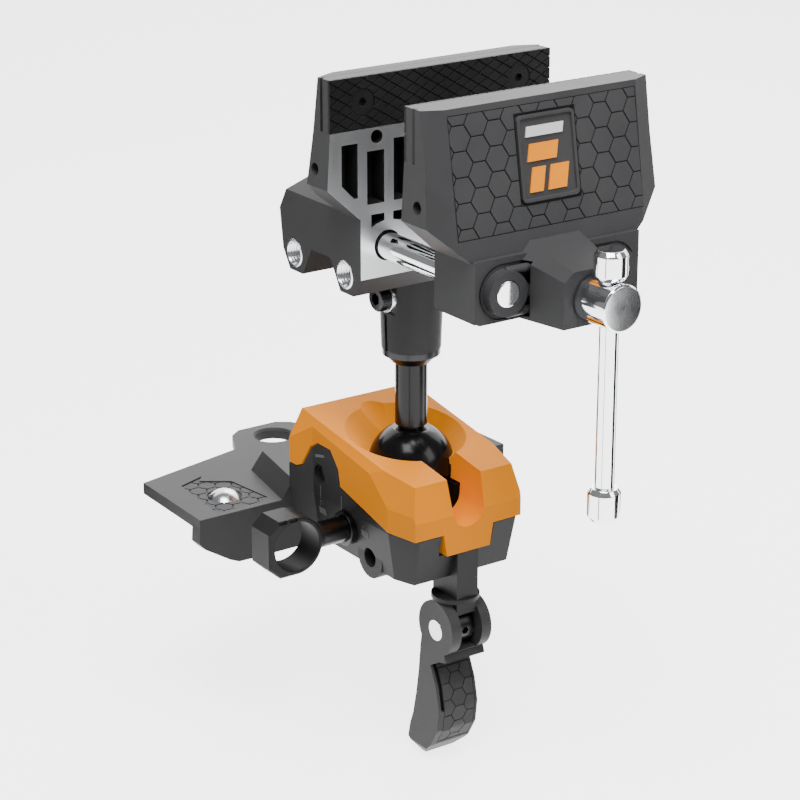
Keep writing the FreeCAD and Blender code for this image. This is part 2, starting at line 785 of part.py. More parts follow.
# ---- ring lock ----
def lock_ring():
    """Pull ring: thick bevelled grip side, thin round wall towards the shaft."""
    front = lock_y - 7.0
    back = front + ring_depth
    outline = [
        (ring_x - 16.4, lock_z - 9.0), (ring_x - 16.4, lock_z + 9.5), (ring_x - 10.0, lock_z + ring_half),
        (ring_x + 1.5, lock_z + ring_half), (ring_x + 1.5, lock_z - ring_half), (ring_x - 10.0, lock_z - ring_half),
    ]
    grip = prism_y(outline, front, back)
    wall = rod_y(front, back, ring_x, lock_z, ring_half)
    body = join([grip, wall])
    rim = [e for e in body.Edges if e.BoundBox.YMax < front + 0.01]
    body = body.makeChamfer(ring_bevel, rim)
    body = join([body, rod_x(ring_x + ring_hole_r, ring_shaft_x, lock_y, lock_z, lock_r)])
    hole = rod_y(front - 1, back + 1, ring_x, lock_z, ring_hole_r)
    flare = cone_y(front - 0.01, front + 0.6, ring_x, lock_z, ring_hole_r + 0.4, ring_hole_r)
    return body.cut([hole, flare])


def lock_shaft():
    """Turned pin; its flat lets the tongue slide out when turned."""
    outside = rod_x(ring_shaft_x, -base_half + 4.0, lock_y, lock_z, lock_r)
    core = rod_x(-base_half + 4.0, 21.0, lock_y, lock_z, lock_core_r)
    flat = box(-tongue_half - 0.6, tongue_half + 0.6, lock_y + 1.3, lock_y + 10, lock_z - 6, lock_z + 6)
    return join([outside, core]).cut(flat)


def lock_collar():
    """Ribbed collar seated on the side of the base."""
    inner_x = -base_half + 2.0
    tube = rod_x(inner_x - 6.2, inner_x, lock_y, lock_z, collar_r)
    return tube.cut(rod_x(inner_x - 8, inner_x + 1, lock_y, lock_z, lock_r + slip))


# ---- bench mount ----
def bench_plate():
    """Plate, bench flange, dock and the tongue that carries the clamp."""
    outline = [
        (plate_half, plate_front_y), (plate_half - 1.8, plate_rear_y), (28.3, 53.3), (19.0, 72.0),
        (12.0, tab_rear_y), (-12.0, tab_rear_y), (-19.0, 72.0), (-28.3, 53.3), (-plate_half + 1.8, plate_rear_y),
        (-plate_half, plate_front_y),
    ]
    plate = prism_z(outline, 0, plate_thick)
    flange = prism_y(both_sides([(plate_half, 1.0), (plate_half + 0.6, -7.0), (92.7, -10.5), (78.2, -19.5),
                                 (72.9, -21.8), (66.0, flange_bottom_z)]), plate_front_y,
                     plate_front_y + flange_thick)
    low = [(-46.5, plate_front_y, plate_thick), (46.5, plate_front_y, plate_thick), (37.5, 22.0, plate_thick),
           (30.0, 30.0, plate_thick), (-30.0, 30.0, plate_thick), (-37.5, 22.0, plate_thick)]
    high = [(-40.0, plate_front_y, dock_top_z), (40.0, plate_front_y, dock_top_z), (31.5, 20.0, dock_top_z),
            (26.0, 26.0, dock_top_z), (-26.0, 26.0, dock_top_z), (-31.5, 20.0, dock_top_z)]
    dock = loft([low, high])
    tongue = box(-tongue_half, tongue_half, tongue_front_y, plate_front_y + 1, tongue_bottom_z, tongue_top_z)
    body = join([plate, flange, dock, tongue])
    cuts = [rod_z(-1, 20, 0, 60.0, 10.0), cone_z(plate_thick - 1.2, plate_thick + 0.01, 0, 60.0, 10.0, 11.4)]
    cuts.append(rod_x(-30, 30, lock_y, lock_z, lock_core_r + 0.2))
    for side in (-1, 1):
        cuts.append(box(side * bolt_x - bolt_r - slip, side * bolt_x + bolt_r + slip, -bolt_r - slip,
                        bolt_r + slip, -1, 10))
        cuts.append(hex_recess(side))
    return body.cut(cuts)


def hex_recess(side):
    """Sunken field round a bolt, with the raised land left behind it."""
    loop = [(79.2, 23.3), (63.7, 29.0), (68.0, 24.0), (54.3, 14.5), (50.5, -15.1), (57.2, -19.0), (82.9, -19.0)]
    return prism_z([(side * x, y) for x, y in loop], plate_thick - 1.2, 20)


def carriage_bolts():
    """Round head, square neck and plain shank."""
    bolts = []
    for x in (-bolt_x, bolt_x):
        seat = plate_thick - 1.2
        dome = Part.makeSphere(10.5, V(x, 0, seat - 6.2)).common(box(x - 20, x + 20, -20, 20, seat, 30))
        neck = box(x - bolt_r, x + bolt_r, -bolt_r, bolt_r, 0, seat)
        bolts.append(join([dome, neck, rod_z(-bolt_length, 0, x, 0, bolt_r)]))
    return Part.makeCompound(bolts)


def main():
    os.makedirs("parts", exist_ok=True)
    save("fixed_jaw_body", fixed_jaw_body())
    save("fixed_jaw_insert", to_fixed(jaw_insert()))
    save("fixed_jaw_pad", to_fixed(jaw_pad()))
    save("fixed_insert_screws", to_fixed(insert_screws()))
    save("movable_jaw_body", movable_jaw_body())
    save("movable_jaw_insert", to_movable(jaw_insert()))
    save("movable_jaw_pad", to_movable(jaw_pad()))
    save("movable_insert_screws", to_movable(insert_screws()))
    save("badge_plate", badge_plate())
    save("guide_rods", guide_rods())
    save("lead_nut", lead_nut())
    save("lead_screw", lead_screw())
    save("thrust_washer", thrust_washer())
    save("thrust_collar", thrust_collar())
    save("screw_end_ring", screw_end_ring())
    save("tommy_bar", tommy_bar())
    save("tommy_knobs", tommy_knobs())
    save("accessory_inserts", accessory_inserts())
    save("column_clamp_screw", column_clamp_screw())
    save("clamp_washer", clamp_washer())
    save("column_ring", column_ring())
    save("stud_shaft", stud_shaft())
    save("ball", ball())
    save("clamp_cover", clamp_cover())
    save("base_body", base_body())
    save("cup_pads", cup_pads())
    save("cover_pin", cover_pin())
    save("drawbar", drawbar())
    save("cam_washer", cam_washer())
    save("cam_lever", cam_lever())
    save("lever_grip", lever_grip())
    save("cam_pin", cam_pin())
    save("lock_ring", lock_ring())
    save("lock_shaft", lock_shaft())
    save("lock_collar", lock_collar())
    save("bench_plate", bench_plate())
    save("carriage_bolts", carriage_bolts())


main()
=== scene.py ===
import math

import bmesh
import bpy
from mathutils import Matrix, Vector


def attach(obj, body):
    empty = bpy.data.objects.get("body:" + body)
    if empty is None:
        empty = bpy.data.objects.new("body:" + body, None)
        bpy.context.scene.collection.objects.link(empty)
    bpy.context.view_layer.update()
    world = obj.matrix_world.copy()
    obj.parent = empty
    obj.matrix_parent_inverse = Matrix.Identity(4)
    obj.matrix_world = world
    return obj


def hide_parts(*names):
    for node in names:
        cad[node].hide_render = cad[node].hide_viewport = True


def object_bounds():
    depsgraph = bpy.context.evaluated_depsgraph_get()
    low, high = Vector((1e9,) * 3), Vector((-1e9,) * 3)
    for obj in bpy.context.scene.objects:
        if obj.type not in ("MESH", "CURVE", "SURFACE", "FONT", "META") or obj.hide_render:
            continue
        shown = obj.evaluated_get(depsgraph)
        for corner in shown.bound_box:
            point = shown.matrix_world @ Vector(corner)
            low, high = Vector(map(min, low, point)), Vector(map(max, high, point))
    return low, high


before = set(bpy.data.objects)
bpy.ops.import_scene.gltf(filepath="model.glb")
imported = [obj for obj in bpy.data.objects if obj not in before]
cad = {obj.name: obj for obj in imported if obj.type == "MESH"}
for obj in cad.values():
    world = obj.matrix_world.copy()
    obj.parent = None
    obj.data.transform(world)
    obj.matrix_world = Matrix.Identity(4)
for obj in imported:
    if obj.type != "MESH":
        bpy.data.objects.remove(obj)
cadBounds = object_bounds()
mm = 0.001
print("frame loaded")


# a mesh from faces, ready to place
def newPiece(name, bm, materials, smoothAngle=32.0):
    bmesh.ops.remove_doubles(bm, verts=bm.verts, dist=1e-6)
    bmesh.ops.recalc_face_normals(bm, faces=bm.faces)
    mesh = bpy.data.meshes.new(name)
    bm.to_mesh(mesh)
    bm.free()
    obj = bpy.data.objects.new(name, mesh)
    bpy.context.collection.objects.link(obj)
    for material in materials:
        mesh.materials.append(material)
    smoothByAngle(mesh, smoothAngle)
    return obj


def smoothByAngle(mesh, degrees):
    bm = bmesh.new()
    bm.from_mesh(mesh)
    limit = math.radians(degrees)
    for edge in bm.edges:
        edge.smooth = len(edge.link_faces) == 2 and edge.calc_face_angle(0.0) < limit
    for face in bm.faces:
        face.smooth = True
    bm.to_mesh(mesh)
    bm.free()


def freeze(obj):
    # the modifiers' result becomes the plain mesh
    graph = bpy.context.evaluated_depsgraph_get()
    mesh = bpy.data.meshes.new_from_object(obj.evaluated_get(graph))
    obj.modifiers.clear()
    obj.data = mesh
    return obj


def roundEdges(obj, width, segments=2, angle=30.0):
    bevel = obj.modifiers.new("edges", "BEVEL")
    bevel.width = width
    bevel.segments = segments
    bevel.limit_method = "ANGLE"
    bevel.angle_limit = math.radians(angle)
    bevel.use_clamp_overlap = True
    return freeze(obj)


softening = {"merge": 4e-6, "flat": 0.4, "openFold": 3.5, "cutFold": 35.0, "crease": 50.0}  # metres and degrees


def markRims(bm, lowest, onlyOpen):
    # edges that part two surfaces, either the piece's own open rims or any sharp fold
    weight = bm.edges.layers.float.get("bevel_weight_edge") or bm.edges.layers.float.new("bevel_weight_edge")
    for edge in bm.edges:
        if len(edge.link_faces) != 2:
            continue
        turn = math.degrees(edge.calc_face_angle(0.0))
        if (edge.seam or not onlyOpen) and turn > lowest:
            edge[weight] = 1.0


def cadCopy(nodeName, name, materials, width, segments=2, chooser=None, tools=()):
    # a merged copy of a CAD piece, cut by the tools, then with softened edges
    mesh = cad[nodeName].data.copy()
    mesh.materials.clear()
    bm = bmesh.new()
    bm.from_mesh(mesh)
    for edge in bm.edges:
        edge.seam = len(edge.link_faces) == 1
    bmesh.ops.remove_doubles(bm, verts=bm.verts, dist=softening["merge"])
    bmesh.ops.dissolve_limit(bm, angle_limit=math.radians(softening["flat"]), verts=bm.verts, edges=bm.edges,
                             delimit={"SEAM"})
    markRims(bm, softening["openFold"], True)
    bm.to_mesh(mesh)
    bm.free()
    mesh.name = name
    obj = bpy.data.objects.new(name, mesh)
    bpy.context.collection.objects.link(obj)
    for material in materials:
        mesh.materials.append(material)
    for tool in tools:
        carve(obj, tool)
    if tools:
        bm = bmesh.new()
        bm.from_mesh(obj.data)
        markRims(bm, softening["cutFold"], False)
        bm.to_mesh(obj.data)
        bm.free()
    if chooser:
        for face in obj.data.polygons:
            face.material_index = chooser(face)
    bevel = obj.modifiers.new("edges", "BEVEL")
    bevel.width = width
    bevel.segments = segments
    bevel.limit_method = "WEIGHT"
    bevel.use_clamp_overlap = True
    return freeze(obj)


def evenShading(obj):
    # broad faces stay flat and the soft edges take the turn
    bm = bmesh.new()
    bm.from_mesh(obj.data)
    for face in bm.faces:
        face.smooth = True
    limit = math.radians(softening["crease"])
    for edge in bm.edges:
        edge.smooth = len(edge.link_faces) == 2 and edge.calc_face_angle(0.0) < limit
        edge.seam = False
    bm.to_mesh(obj.data)
    bm.free()
    weighted = obj.modifiers.new("flat faces", "WEIGHTED_NORMAL")
    weighted.mode = "FACE_AREA"
    weighted.weight = 100
    weighted.keep_sharp = True
    return freeze(obj)


def carve(obj, tool):
    cut = obj.modifiers.new("cut", "BOOLEAN")
    cut.operation = "DIFFERENCE"
    cut.solver = "EXACT"
    cut.object = tool
    freeze(obj)


def emptyPiece(name):
    obj = bpy.data.objects.new(name, bpy.data.meshes.new(name))
    bpy.context.collection.objects.link(obj)
    return obj


def discard(*objs):
    for obj in objs:
        bpy.data.objects.remove(obj, do_unlink=True)


def aim(axis):
    # turns +Z onto an axis
    return Vector((0, 0, 1)).rotation_difference(Vector(axis)).to_matrix().to_4x4()


def lathe(name, profile, place, axis, materials, turns=72, bands=None):
    # profile is (radius, height) in millimetres, closed on the axis or back on itself
    bm = bmesh.new()
    rings = []
    for radius, height in profile:
        if radius < 1e-6:
            rings.append([bm.verts.new((0, 0, height * mm))])
        else:
            ring = []
            for step in range(turns):
                angle = 2 * math.pi * step / turns
                x, y = radius * mm * math.cos(angle), radius * mm * math.sin(angle)
                ring.append(bm.verts.new((x, y, height * mm)))
            rings.append(ring)
    pairs = list(zip(rings, rings[1:]))
    if len(rings[0]) > 1:
        pairs.append((rings[-1], rings[0]))
    for index, (low, high) in enumerate(pairs):
        for step in range(turns):
            after = (step + 1) % turns
            if len(low) == 1 and len(high) == 1:
                continue
            if len(low) == 1:
                corners = [low[0], high[step], high[after]]
            elif len(high) == 1:
                corners = [low[step], low[after], high[0]]
            else:
                corners = [low[step], low[after], high[after], high[step]]
            face = bm.faces.new(corners)
            face.material_index = bands[index] if bands else 0
    bm.transform(Matrix.Translation(Vector(place) * mm) @ aim(axis))
    return newPiece(name, bm, materials)


def roundedRod(radius, low, high, edge, steps=3):
    # profile of a solid rod with rounded rims
    points = [(0, low)]
    for step in range(steps + 1):
        angle = math.pi / 2 * step / steps
        points.append((radius - edge + edge * math.sin(angle), low + edge - edge * math.cos(angle)))
    for step in range(steps + 1):
        angle = math.pi / 2 * step / steps
        points.append((radius - edge + edge * math.cos(angle), high - edge + edge * math.sin(angle)))
    return points + [(0, high)]


def plate(name, loop, low, high, matrix, materials):
    # a flat outline, in millimetres, given a thickness and placed by a matrix
    bm = bmesh.new()
    bottom = [bm.verts.new((x * mm, y * mm, low * mm)) for x, y in loop]
    top = [bm.verts.new((x * mm, y * mm, high * mm)) for x, y in loop]
    bm.faces.new(list(reversed(bottom)))
    bm.faces.new(top)
    for index in range(len(loop)):
        after = (index + 1) % len(loop)
        bm.faces.new([bottom[index], bottom[after], top[after], top[index]])
    bm.transform(matrix)
    return newPiece(name, bm, materials)


def join(name, objs):
    bm = bmesh.new()
    materials = []
    for obj in objs:
        start = len(bm.faces)
        bm.from_mesh(obj.data)
        bm.faces.ensure_lookup_table()
        for face in list(bm.faces)[start:]:
            material = obj.data.materials[face.material_index]
            if material not in materials:
                materials.append(material)
            face.material_index = materials.index(material)
    mesh = bpy.data.meshes.new(name)
    bm.to_mesh(mesh)
    bm.free()
    whole = bpy.data.objects.new(name, mesh)
    bpy.context.collection.objects.link(whole)
    for material in materials:
        mesh.materials.append(material)
    discard(*objs)
    return whole


def settle(obj, body, slotName, *replaced):
    evenShading(obj)
    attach(obj, body)
    if replaced:
        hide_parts(*replaced)
    return obj


# materials
finishes = {
    "sheen": 0.13,
    "coatDark": (0.046, 0.046, 0.048), "coatLight": (0.054, 0.054, 0.056),
    "footShadedDark": (0.019, 0.019, 0.020), "footShadedLight": (0.025, 0.025, 0.026), "coatGrain": 1500.0,
    "orangeDark": (0.93, 0.28, 0.0), "orangeLight": (1.0, 0.305, 0.0), "orangeGlow": 0.2,
    "chrome": (0.86, 0.87, 0.89), "machined": (0.56, 0.57, 0.58),
}


def newMaterial(name, color, metallic, roughness):
    material = bpy.data.materials.new(name)
    material.use_nodes = True
    shader = material.node_tree.nodes["Principled BSDF"]
    shader.inputs["Base Color"].default_value = (*color, 1.0)
    shader.inputs["Metallic"].default_value = metallic
    shader.inputs["Roughness"].default_value = roughness
    shader.inputs["Specular IOR Level"].default_value = 0.5 if metallic else finishes["sheen"]
    return material, shader


def objectNoise(material, scale, detail=3.0, stretch=(1, 1, 1)):
    nodes, links = material.node_tree.nodes, material.node_tree.links
    coords = nodes.new("ShaderNodeTexCoord")
    mapping = nodes.new("ShaderNodeMapping")
    mapping.inputs["Scale"].default_value = stretch
    noise = nodes.new("ShaderNodeTexNoise")
    noise.inputs["Scale"].default_value = scale
    noise.inputs["Detail"].default_value = detail
    links.new(coords.outputs["Object"], mapping.inputs["Vector"])
    links.new(mapping.outputs["Vector"], noise.inputs["Vector"])
    return noise


def tintBy(material, shader, source, dark, light, low=0.35, high=0.65):
    nodes, links = material.node_tree.nodes, material.node_tree.links
    ramp = nodes.new("ShaderNodeValToRGB")
    ramp.color_ramp.elements[0].position = low
    ramp.color_ramp.elements[1].position = high
    ramp.color_ramp.elements[0].color = (*dark, 1.0)
    ramp.color_ramp.elements[1].color = (*light, 1.0)
    links.new(source.outputs["Fac"], ramp.inputs["Fac"])
    links.new(ramp.outputs["Color"], shader.inputs["Base Color"])


def glossBy(material, shader, source, low, high):
    nodes, links = material.node_tree.nodes, material.node_tree.links
    spread = nodes.new("ShaderNodeMapRange")
    spread.inputs["To Min"].default_value = low
    spread.inputs["To Max"].default_value = high
    links.new(source.outputs["Fac"], spread.inputs["Value"])
    links.new(spread.outputs["Result"], shader.inputs["Roughness"])


def bumpBy(material, shader, source, strength, distance):
    nodes, links = material.node_tree.nodes, material.node_tree.links
    bump = nodes.new("ShaderNodeBump")
    bump.inputs["Strength"].default_value = strength
    bump.inputs["Distance"].default_value = distance
    links.new(source.outputs["Fac"], bump.inputs["Height"])
    links.new(bump.outputs["Normal"], shader.inputs["Normal"])


def powderCoatFinish(name, dark, light, rough=0.46, grain=0.24):
    material, shader = newMaterial(name, dark, 0.0, rough)
    fine = objectNoise(material, finishes["coatGrain"], 2.0)
    broad = objectNoise(material, 28.0, 3.0)
    tintBy(material, shader, broad, dark, light)
    glossBy(material, shader, broad, rough - 0.05, rough + 0.07)
    bumpBy(material, shader, fine, grain, 0.00012)
    return material


def turnedFinish(name, color, rough, grain, stretch):
    material, shader = newMaterial(name, color, 1.0, rough)
    lines = objectNoise(material, grain, 2.0, stretch)
    glossBy(material, shader, lines, rough - 0.04, rough + 0.06)
    bumpBy(material, shader, lines, 0.05, 0.00005)
    return material


powderCoat = powderCoatFinish("powderCoat", finishes["coatDark"], finishes["coatLight"])
# painted shade: a darker copy of the powder coat for the base and the washer, which sit low where less light falls
footCoat = powderCoatFinish("footCoat", finishes["footShadedDark"], finishes["footShadedLight"])
tileCoat = powderCoatFinish("tileCoat", finishes["coatDark"], finishes["coatLight"], 0.5, 0.4)
# painted shade: a near-black copy of the coat for pockets, recesses and the floor between tiles
recessShadeCoat = powderCoatFinish("recessShadeCoat", (0.008, 0.008, 0.008), (0.014, 0.014, 0.014), 0.6, 0.2)
orangeCoat = powderCoatFinish("orangeCoat", finishes["orangeDark"], finishes["orangeLight"], 0.5, 0.14)
orangeShader = orangeCoat.node_tree.nodes["Principled BSDF"]
orangeShader.inputs["Specular IOR Level"].default_value = 0.05
# painted light: the orange coat glows a little, so its faces in shade stay bright
orangeShader.inputs["Emission Color"].default_value = (1.0, 0.33, 0.0, 1.0)
orangeShader.inputs["Emission Strength"].default_value = finishes["orangeGlow"]
chromePlate = turnedFinish("chromePlate", finishes["chrome"], 0.07, 60.0, (1, 1, 1))
machinedFace = turnedFinish("machinedFace", finishes["machined"], 0.34, 900.0, (1, 1, 0.04))
brightSteel = turnedFinish("brightSteel", (0.62, 0.63, 0.65), 0.22, 700.0, (1, 1, 1))
dullSteel = turnedFinish("dullSteel", (0.42, 0.43, 0.44), 0.36, 700.0, (1, 1, 1))
blackOxide = turnedFinish("blackOxide", (0.030, 0.030, 0.032), 0.30, 800.0, (1, 1, 1))
blackPolish, polishShader = newMaterial("blackPolish", (0.006, 0.006, 0.007), 0.0, 0.18)
polishShader.inputs["Specular IOR Level"].default_value = 0.2
glossBy(blackPolish, polishShader, objectNoise(blackPolish, 90.0), 0.16, 0.22)
blackRubber = powderCoatFinish("blackRubber", (0.009, 0.009, 0.009), (0.014, 0.014, 0.014), 0.45, 0.3)
screwBronze = turnedFinish("screwBronze", (0.55, 0.36, 0.16), 0.30, 500.0, (1, 1, 1))
whiteInk = powderCoatFinish("whiteInk", (0.78, 0.78, 0.77), (0.84, 0.84, 0.83), 0.45, 0.1)
grayInk = powderCoatFinish("grayInk", (0.16, 0.16, 0.165), (0.19, 0.19, 0.195), 0.5, 0.1)
print("materials ready")


# geometry node helpers
def newTree(name, inputs):
    tree = bpy.data.node_groups.new(name, "GeometryNodeTree")
    tree.interface.new_socket(name="Geometry", in_out="INPUT", socket_type="NodeSocketGeometry")
    for label, kind, value in inputs:
        socket = tree.interface.new_socket(name=label, in_out="INPUT", socket_type=kind)
        socket.default_value = value
    tree.interface.new_socket(name="Geometry", in_out="OUTPUT", socket_type="NodeSocketGeometry")
    return tree, tree.nodes.new("NodeGroupInput"), tree.nodes.new("NodeGroupOutput")


def numberNode(tree, operation, first, second):
    node = tree.nodes.new("ShaderNodeMath")
    node.operation = operation
    for index, value in enumerate((first, second)):
        if isinstance(value, (int, float)):
            node.inputs[index].default_value = value
        else:
            tree.links.new(value, node.inputs[index])
    return node.outputs[0]


def finishTree(tree, last, material, output):
    realize = tree.nodes.new("GeometryNodeRealizeInstances")
    paint = tree.nodes.new("GeometryNodeSetMaterial")
    paint.inputs["Material"].default_value = material
    tree.links.new(last, realize.inputs[0])
    tree.links.new(realize.outputs[0], paint.inputs["Geometry"])
    tree.links.new(paint.outputs[0], output.inputs[0])


def runTree(obj, tree, values):
    grow = obj.modifiers.new("pattern", "NODES")
    grow.node_group = tree
    for item in tree.interface.items_tree:
        if item.item_type == "SOCKET" and item.in_out == "INPUT" and item.name in values:
            grow[item.identifier] = values[item.name]
    return freeze(obj)


def latticePoints(tree, columns, rows, pitchX, pitchY):
    # a grid whose every other column is shifted by half a row
    grid = tree.nodes.new("GeometryNodeMeshGrid")
    sizeX = numberNode(tree, "MULTIPLY", pitchX, numberNode(tree, "SUBTRACT", columns, 1.0))
    sizeY = numberNode(tree, "MULTIPLY", pitchY, numberNode(tree, "SUBTRACT", rows, 1.0))
    tree.links.new(columns, grid.inputs["Vertices X"])
    tree.links.new(rows, grid.inputs["Vertices Y"])
    tree.links.new(sizeX, grid.inputs["Size X"])
    tree.links.new(sizeY, grid.inputs["Size Y"])
    index = tree.nodes.new("GeometryNodeInputIndex")
    column = numberNode(tree, "FLOOR", numberNode(tree, "DIVIDE", index.outputs[0], rows), 0.0)
    odd = numberNode(tree, "MODULO", column, 2.0)
    shift = numberNode(tree, "MULTIPLY", numberNode(tree, "MULTIPLY", odd, pitchY), 0.5)
    offset = tree.nodes.new("ShaderNodeCombineXYZ")
    tree.links.new(shift, offset.inputs["Y"])
    move = tree.nodes.new("GeometryNodeSetPosition")
    tree.links.new(grid.outputs["Mesh"], move.inputs["Geometry"])
    tree.links.new(offset.outputs[0], move.inputs["Offset"])
    return move.outputs[0]


def hexTree():
    inputs = [("Columns", "NodeSocketInt", 12), ("Rows", "NodeSocketInt", 8),
              ("Column pitch", "NodeSocketFloat", 0.0099), ("Row pitch", "NodeSocketFloat", 0.0114),
              ("Groove", "NodeSocketFloat", 0.0006), ("Across", "NodeSocketFloat", 0.0),
              ("Shift", "NodeSocketFloat", 0.0)]
    tree, entry, output = newTree("hexTiles", inputs)
    sockets = entry.outputs
    points = latticePoints(tree, sockets["Columns"], sockets["Rows"], sockets["Column pitch"], sockets["Row pitch"])
    across = numberNode(tree, "SUBTRACT", sockets["Row pitch"], sockets["Groove"])
    radius = numberNode(tree, "DIVIDE", across, math.sqrt(3.0))
    tile = tree.nodes.new("GeometryNodeMeshCylinder")
    tile.inputs["Vertices"].default_value = 6
    tile.inputs["Depth"].default_value = 0.02
    tree.links.new(radius, tile.inputs["Radius"])
    along = tree.nodes.new("ShaderNodeCombineXYZ")
    tree.links.new(sockets["Across"], along.inputs["X"])
    tree.links.new(sockets["Shift"], along.inputs["Y"])
    slide = tree.nodes.new("GeometryNodeSetPosition")
    tree.links.new(points, slide.inputs["Geometry"])
    tree.links.new(along.outputs[0], slide.inputs["Offset"])
    spread = tree.nodes.new("GeometryNodeInstanceOnPoints")
    tree.links.new(slide.outputs[0], spread.inputs["Points"])
    tree.links.new(tile.outputs["Mesh"], spread.inputs["Instance"])
    solid = tree.nodes.new("GeometryNodeRealizeInstances")
    tree.links.new(spread.outputs[0], solid.inputs[0])
    trim = tree.nodes.new("GeometryNodeMeshBoolean")
    trim.operation = "INTERSECT"
    trim.solver = "EXACT"
    tree.links.new(solid.outputs[0], trim.inputs["Mesh 2"])
    tree.links.new(entry.outputs["Geometry"], trim.inputs["Mesh 2"])
    finishTree(tree, trim.outputs["Mesh"], tileCoat, output)
    return tree


hexTiles = hexTree()


def knurlTree():
    inputs = [("Columns", "NodeSocketInt", 60), ("Rows", "NodeSocketInt", 10),
              ("Pitch across", "NodeSocketFloat", 0.005), ("Pitch up", "NodeSocketFloat", 0.004),
              ("Height", "NodeSocketFloat", 0.0006)]
    tree, entry, output = newTree("diamondKnurl", inputs)
    sockets = entry.outputs
    half = numberNode(tree, "MULTIPLY", sockets["Pitch across"], 0.5)
    points = latticePoints(tree, sockets["Columns"], sockets["Rows"], half, sockets["Pitch up"])
    point = tree.nodes.new("GeometryNodeMeshCone")
    point.inputs["Vertices"].default_value = 4
    point.inputs["Radius Top"].default_value = 0.80
    point.inputs["Radius Bottom"].default_value = 0.97
    tree.links.new(sockets["Height"], point.inputs["Depth"])
    scale = tree.nodes.new("ShaderNodeCombineXYZ")
    tree.links.new(half, scale.inputs["X"])
    tree.links.new(numberNode(tree, "MULTIPLY", sockets["Pitch up"], 0.5), scale.inputs["Y"])
    scale.inputs["Z"].default_value = 1.0
    spread = tree.nodes.new("GeometryNodeInstanceOnPoints")
    tree.links.new(points, spread.inputs["Points"])
    tree.links.new(point.outputs["Mesh"], spread.inputs["Instance"])
    tree.links.new(scale.outputs[0], spread.inputs["Scale"])
    solid = tree.nodes.new("GeometryNodeRealizeInstances")
    tree.links.new(spread.outputs[0], solid.inputs[0])
    trim = tree.nodes.new("GeometryNodeMeshBoolean")
    trim.operation = "INTERSECT"
    trim.solver = "EXACT"
    tree.links.new(solid.outputs[0], trim.inputs["Mesh 2"])
    tree.links.new(entry.outputs["Geometry"], trim.inputs["Mesh 2"])
    finishTree(tree, trim.outputs["Mesh"], blackRubber, output)
    return tree


def ribTree():
    inputs = [("Count", "NodeSocketInt", 36), ("Radius", "NodeSocketFloat", 0.0065),
              ("Size", "NodeSocketVector", (0.0005, 0.0006, 0.006))]
    tree, entry, output = newTree("rimRibs", inputs)
    sockets = entry.outputs
    circle = tree.nodes.new("GeometryNodeMeshCircle")
    tree.links.new(sockets["Count"], circle.inputs["Vertices"])
    tree.links.new(sockets["Radius"], circle.inputs["Radius"])
    place = tree.nodes.new("GeometryNodeInputPosition")
    turn = tree.nodes.new("FunctionNodeAlignRotationToVector")
    turn.axis = "X"
    tree.links.new(place.outputs[0], turn.inputs["Vector"])
    rib = tree.nodes.new("GeometryNodeMeshCube")
    tree.links.new(sockets["Size"], rib.inputs["Size"])
    spread = tree.nodes.new("GeometryNodeInstanceOnPoints")
    tree.links.new(circle.outputs["Mesh"], spread.inputs["Points"])
    tree.links.new(rib.outputs["Mesh"], spread.inputs["Instance"])
    tree.links.new(turn.outputs[0], spread.inputs["Rotation"])
    finishTree(tree, spread.outputs[0], blackOxide, output)
    return tree


def threadTree():
    inputs = [("Turns", "NodeSocketFloat", 30.0), ("Radius", "NodeSocketFloat", 0.0062),
              ("Length", "NodeSocketFloat", 0.12), ("Crest", "NodeSocketFloat", 0.0012),
              ("Root", "NodeSocketFloat", 0.0026), ("Depth", "NodeSocketFloat", 0.0016)]
    tree, entry, output = newTree("screwThread", inputs)
    sockets = entry.outputs
    spiral = tree.nodes.new("GeometryNodeCurveSpiral")
    spiral.inputs["Resolution"].default_value = 40
    tree.links.new(sockets["Turns"], spiral.inputs["Rotations"])
    tree.links.new(sockets["Radius"], spiral.inputs["Start Radius"])
    tree.links.new(sockets["Radius"], spiral.inputs["End Radius"])
    tree.links.new(sockets["Length"], spiral.inputs["Height"])
    upright = tree.nodes.new("GeometryNodeSetCurveNormal")
    upright.mode = "Z_UP"
    tree.links.new(spiral.outputs[0], upright.inputs[0])
    tooth = tree.nodes.new("GeometryNodeCurvePrimitiveQuadrilateral")
    tooth.mode = "TRAPEZOID"
    tooth.inputs["Offset"].default_value = 0.0
    tree.links.new(sockets["Root"], tooth.inputs["Bottom Width"])
    tree.links.new(sockets["Crest"], tooth.inputs["Top Width"])
    tree.links.new(sockets["Depth"], tooth.inputs["Height"])
    spin = tree.nodes.new("GeometryNodeTransform")
    spin.inputs["Rotation"].default_value = (0, 0, math.radians(-90))
    tree.links.new(tooth.outputs[0], spin.inputs["Geometry"])
    sweep = tree.nodes.new("GeometryNodeCurveToMesh")
    sweep.inputs["Fill Caps"].default_value = True
    tree.links.new(upright.outputs[0], sweep.inputs["Curve"])
    tree.links.new(spin.outputs[0], sweep.inputs["Profile Curve"])
    finishTree(tree, sweep.outputs[0], dullSteel, output)
    return tree


print("pattern trees ready")

# sizes that the pieces share, in millimetres
head = {"faceY": -97.0, "gap": 59.5, "topZ": 240.0, "rodX": 31.5, "rodZ": 157.2, "screwZ": 155.5, "columnY": -71.5}


# jaw linings
lining = {"width": 127.0, "height": 25.0, "pad": 1.6, "base": 0.75, "pitchX": 9.4, "pitchZ": 5.6, "tip": 0.85,
          "sink": 0.3, "skim": 0.31, "screwX": 45.0, "screwDrop": 12.3, "screwRadius": 6.45}
diamondKnurl = knurlTree()


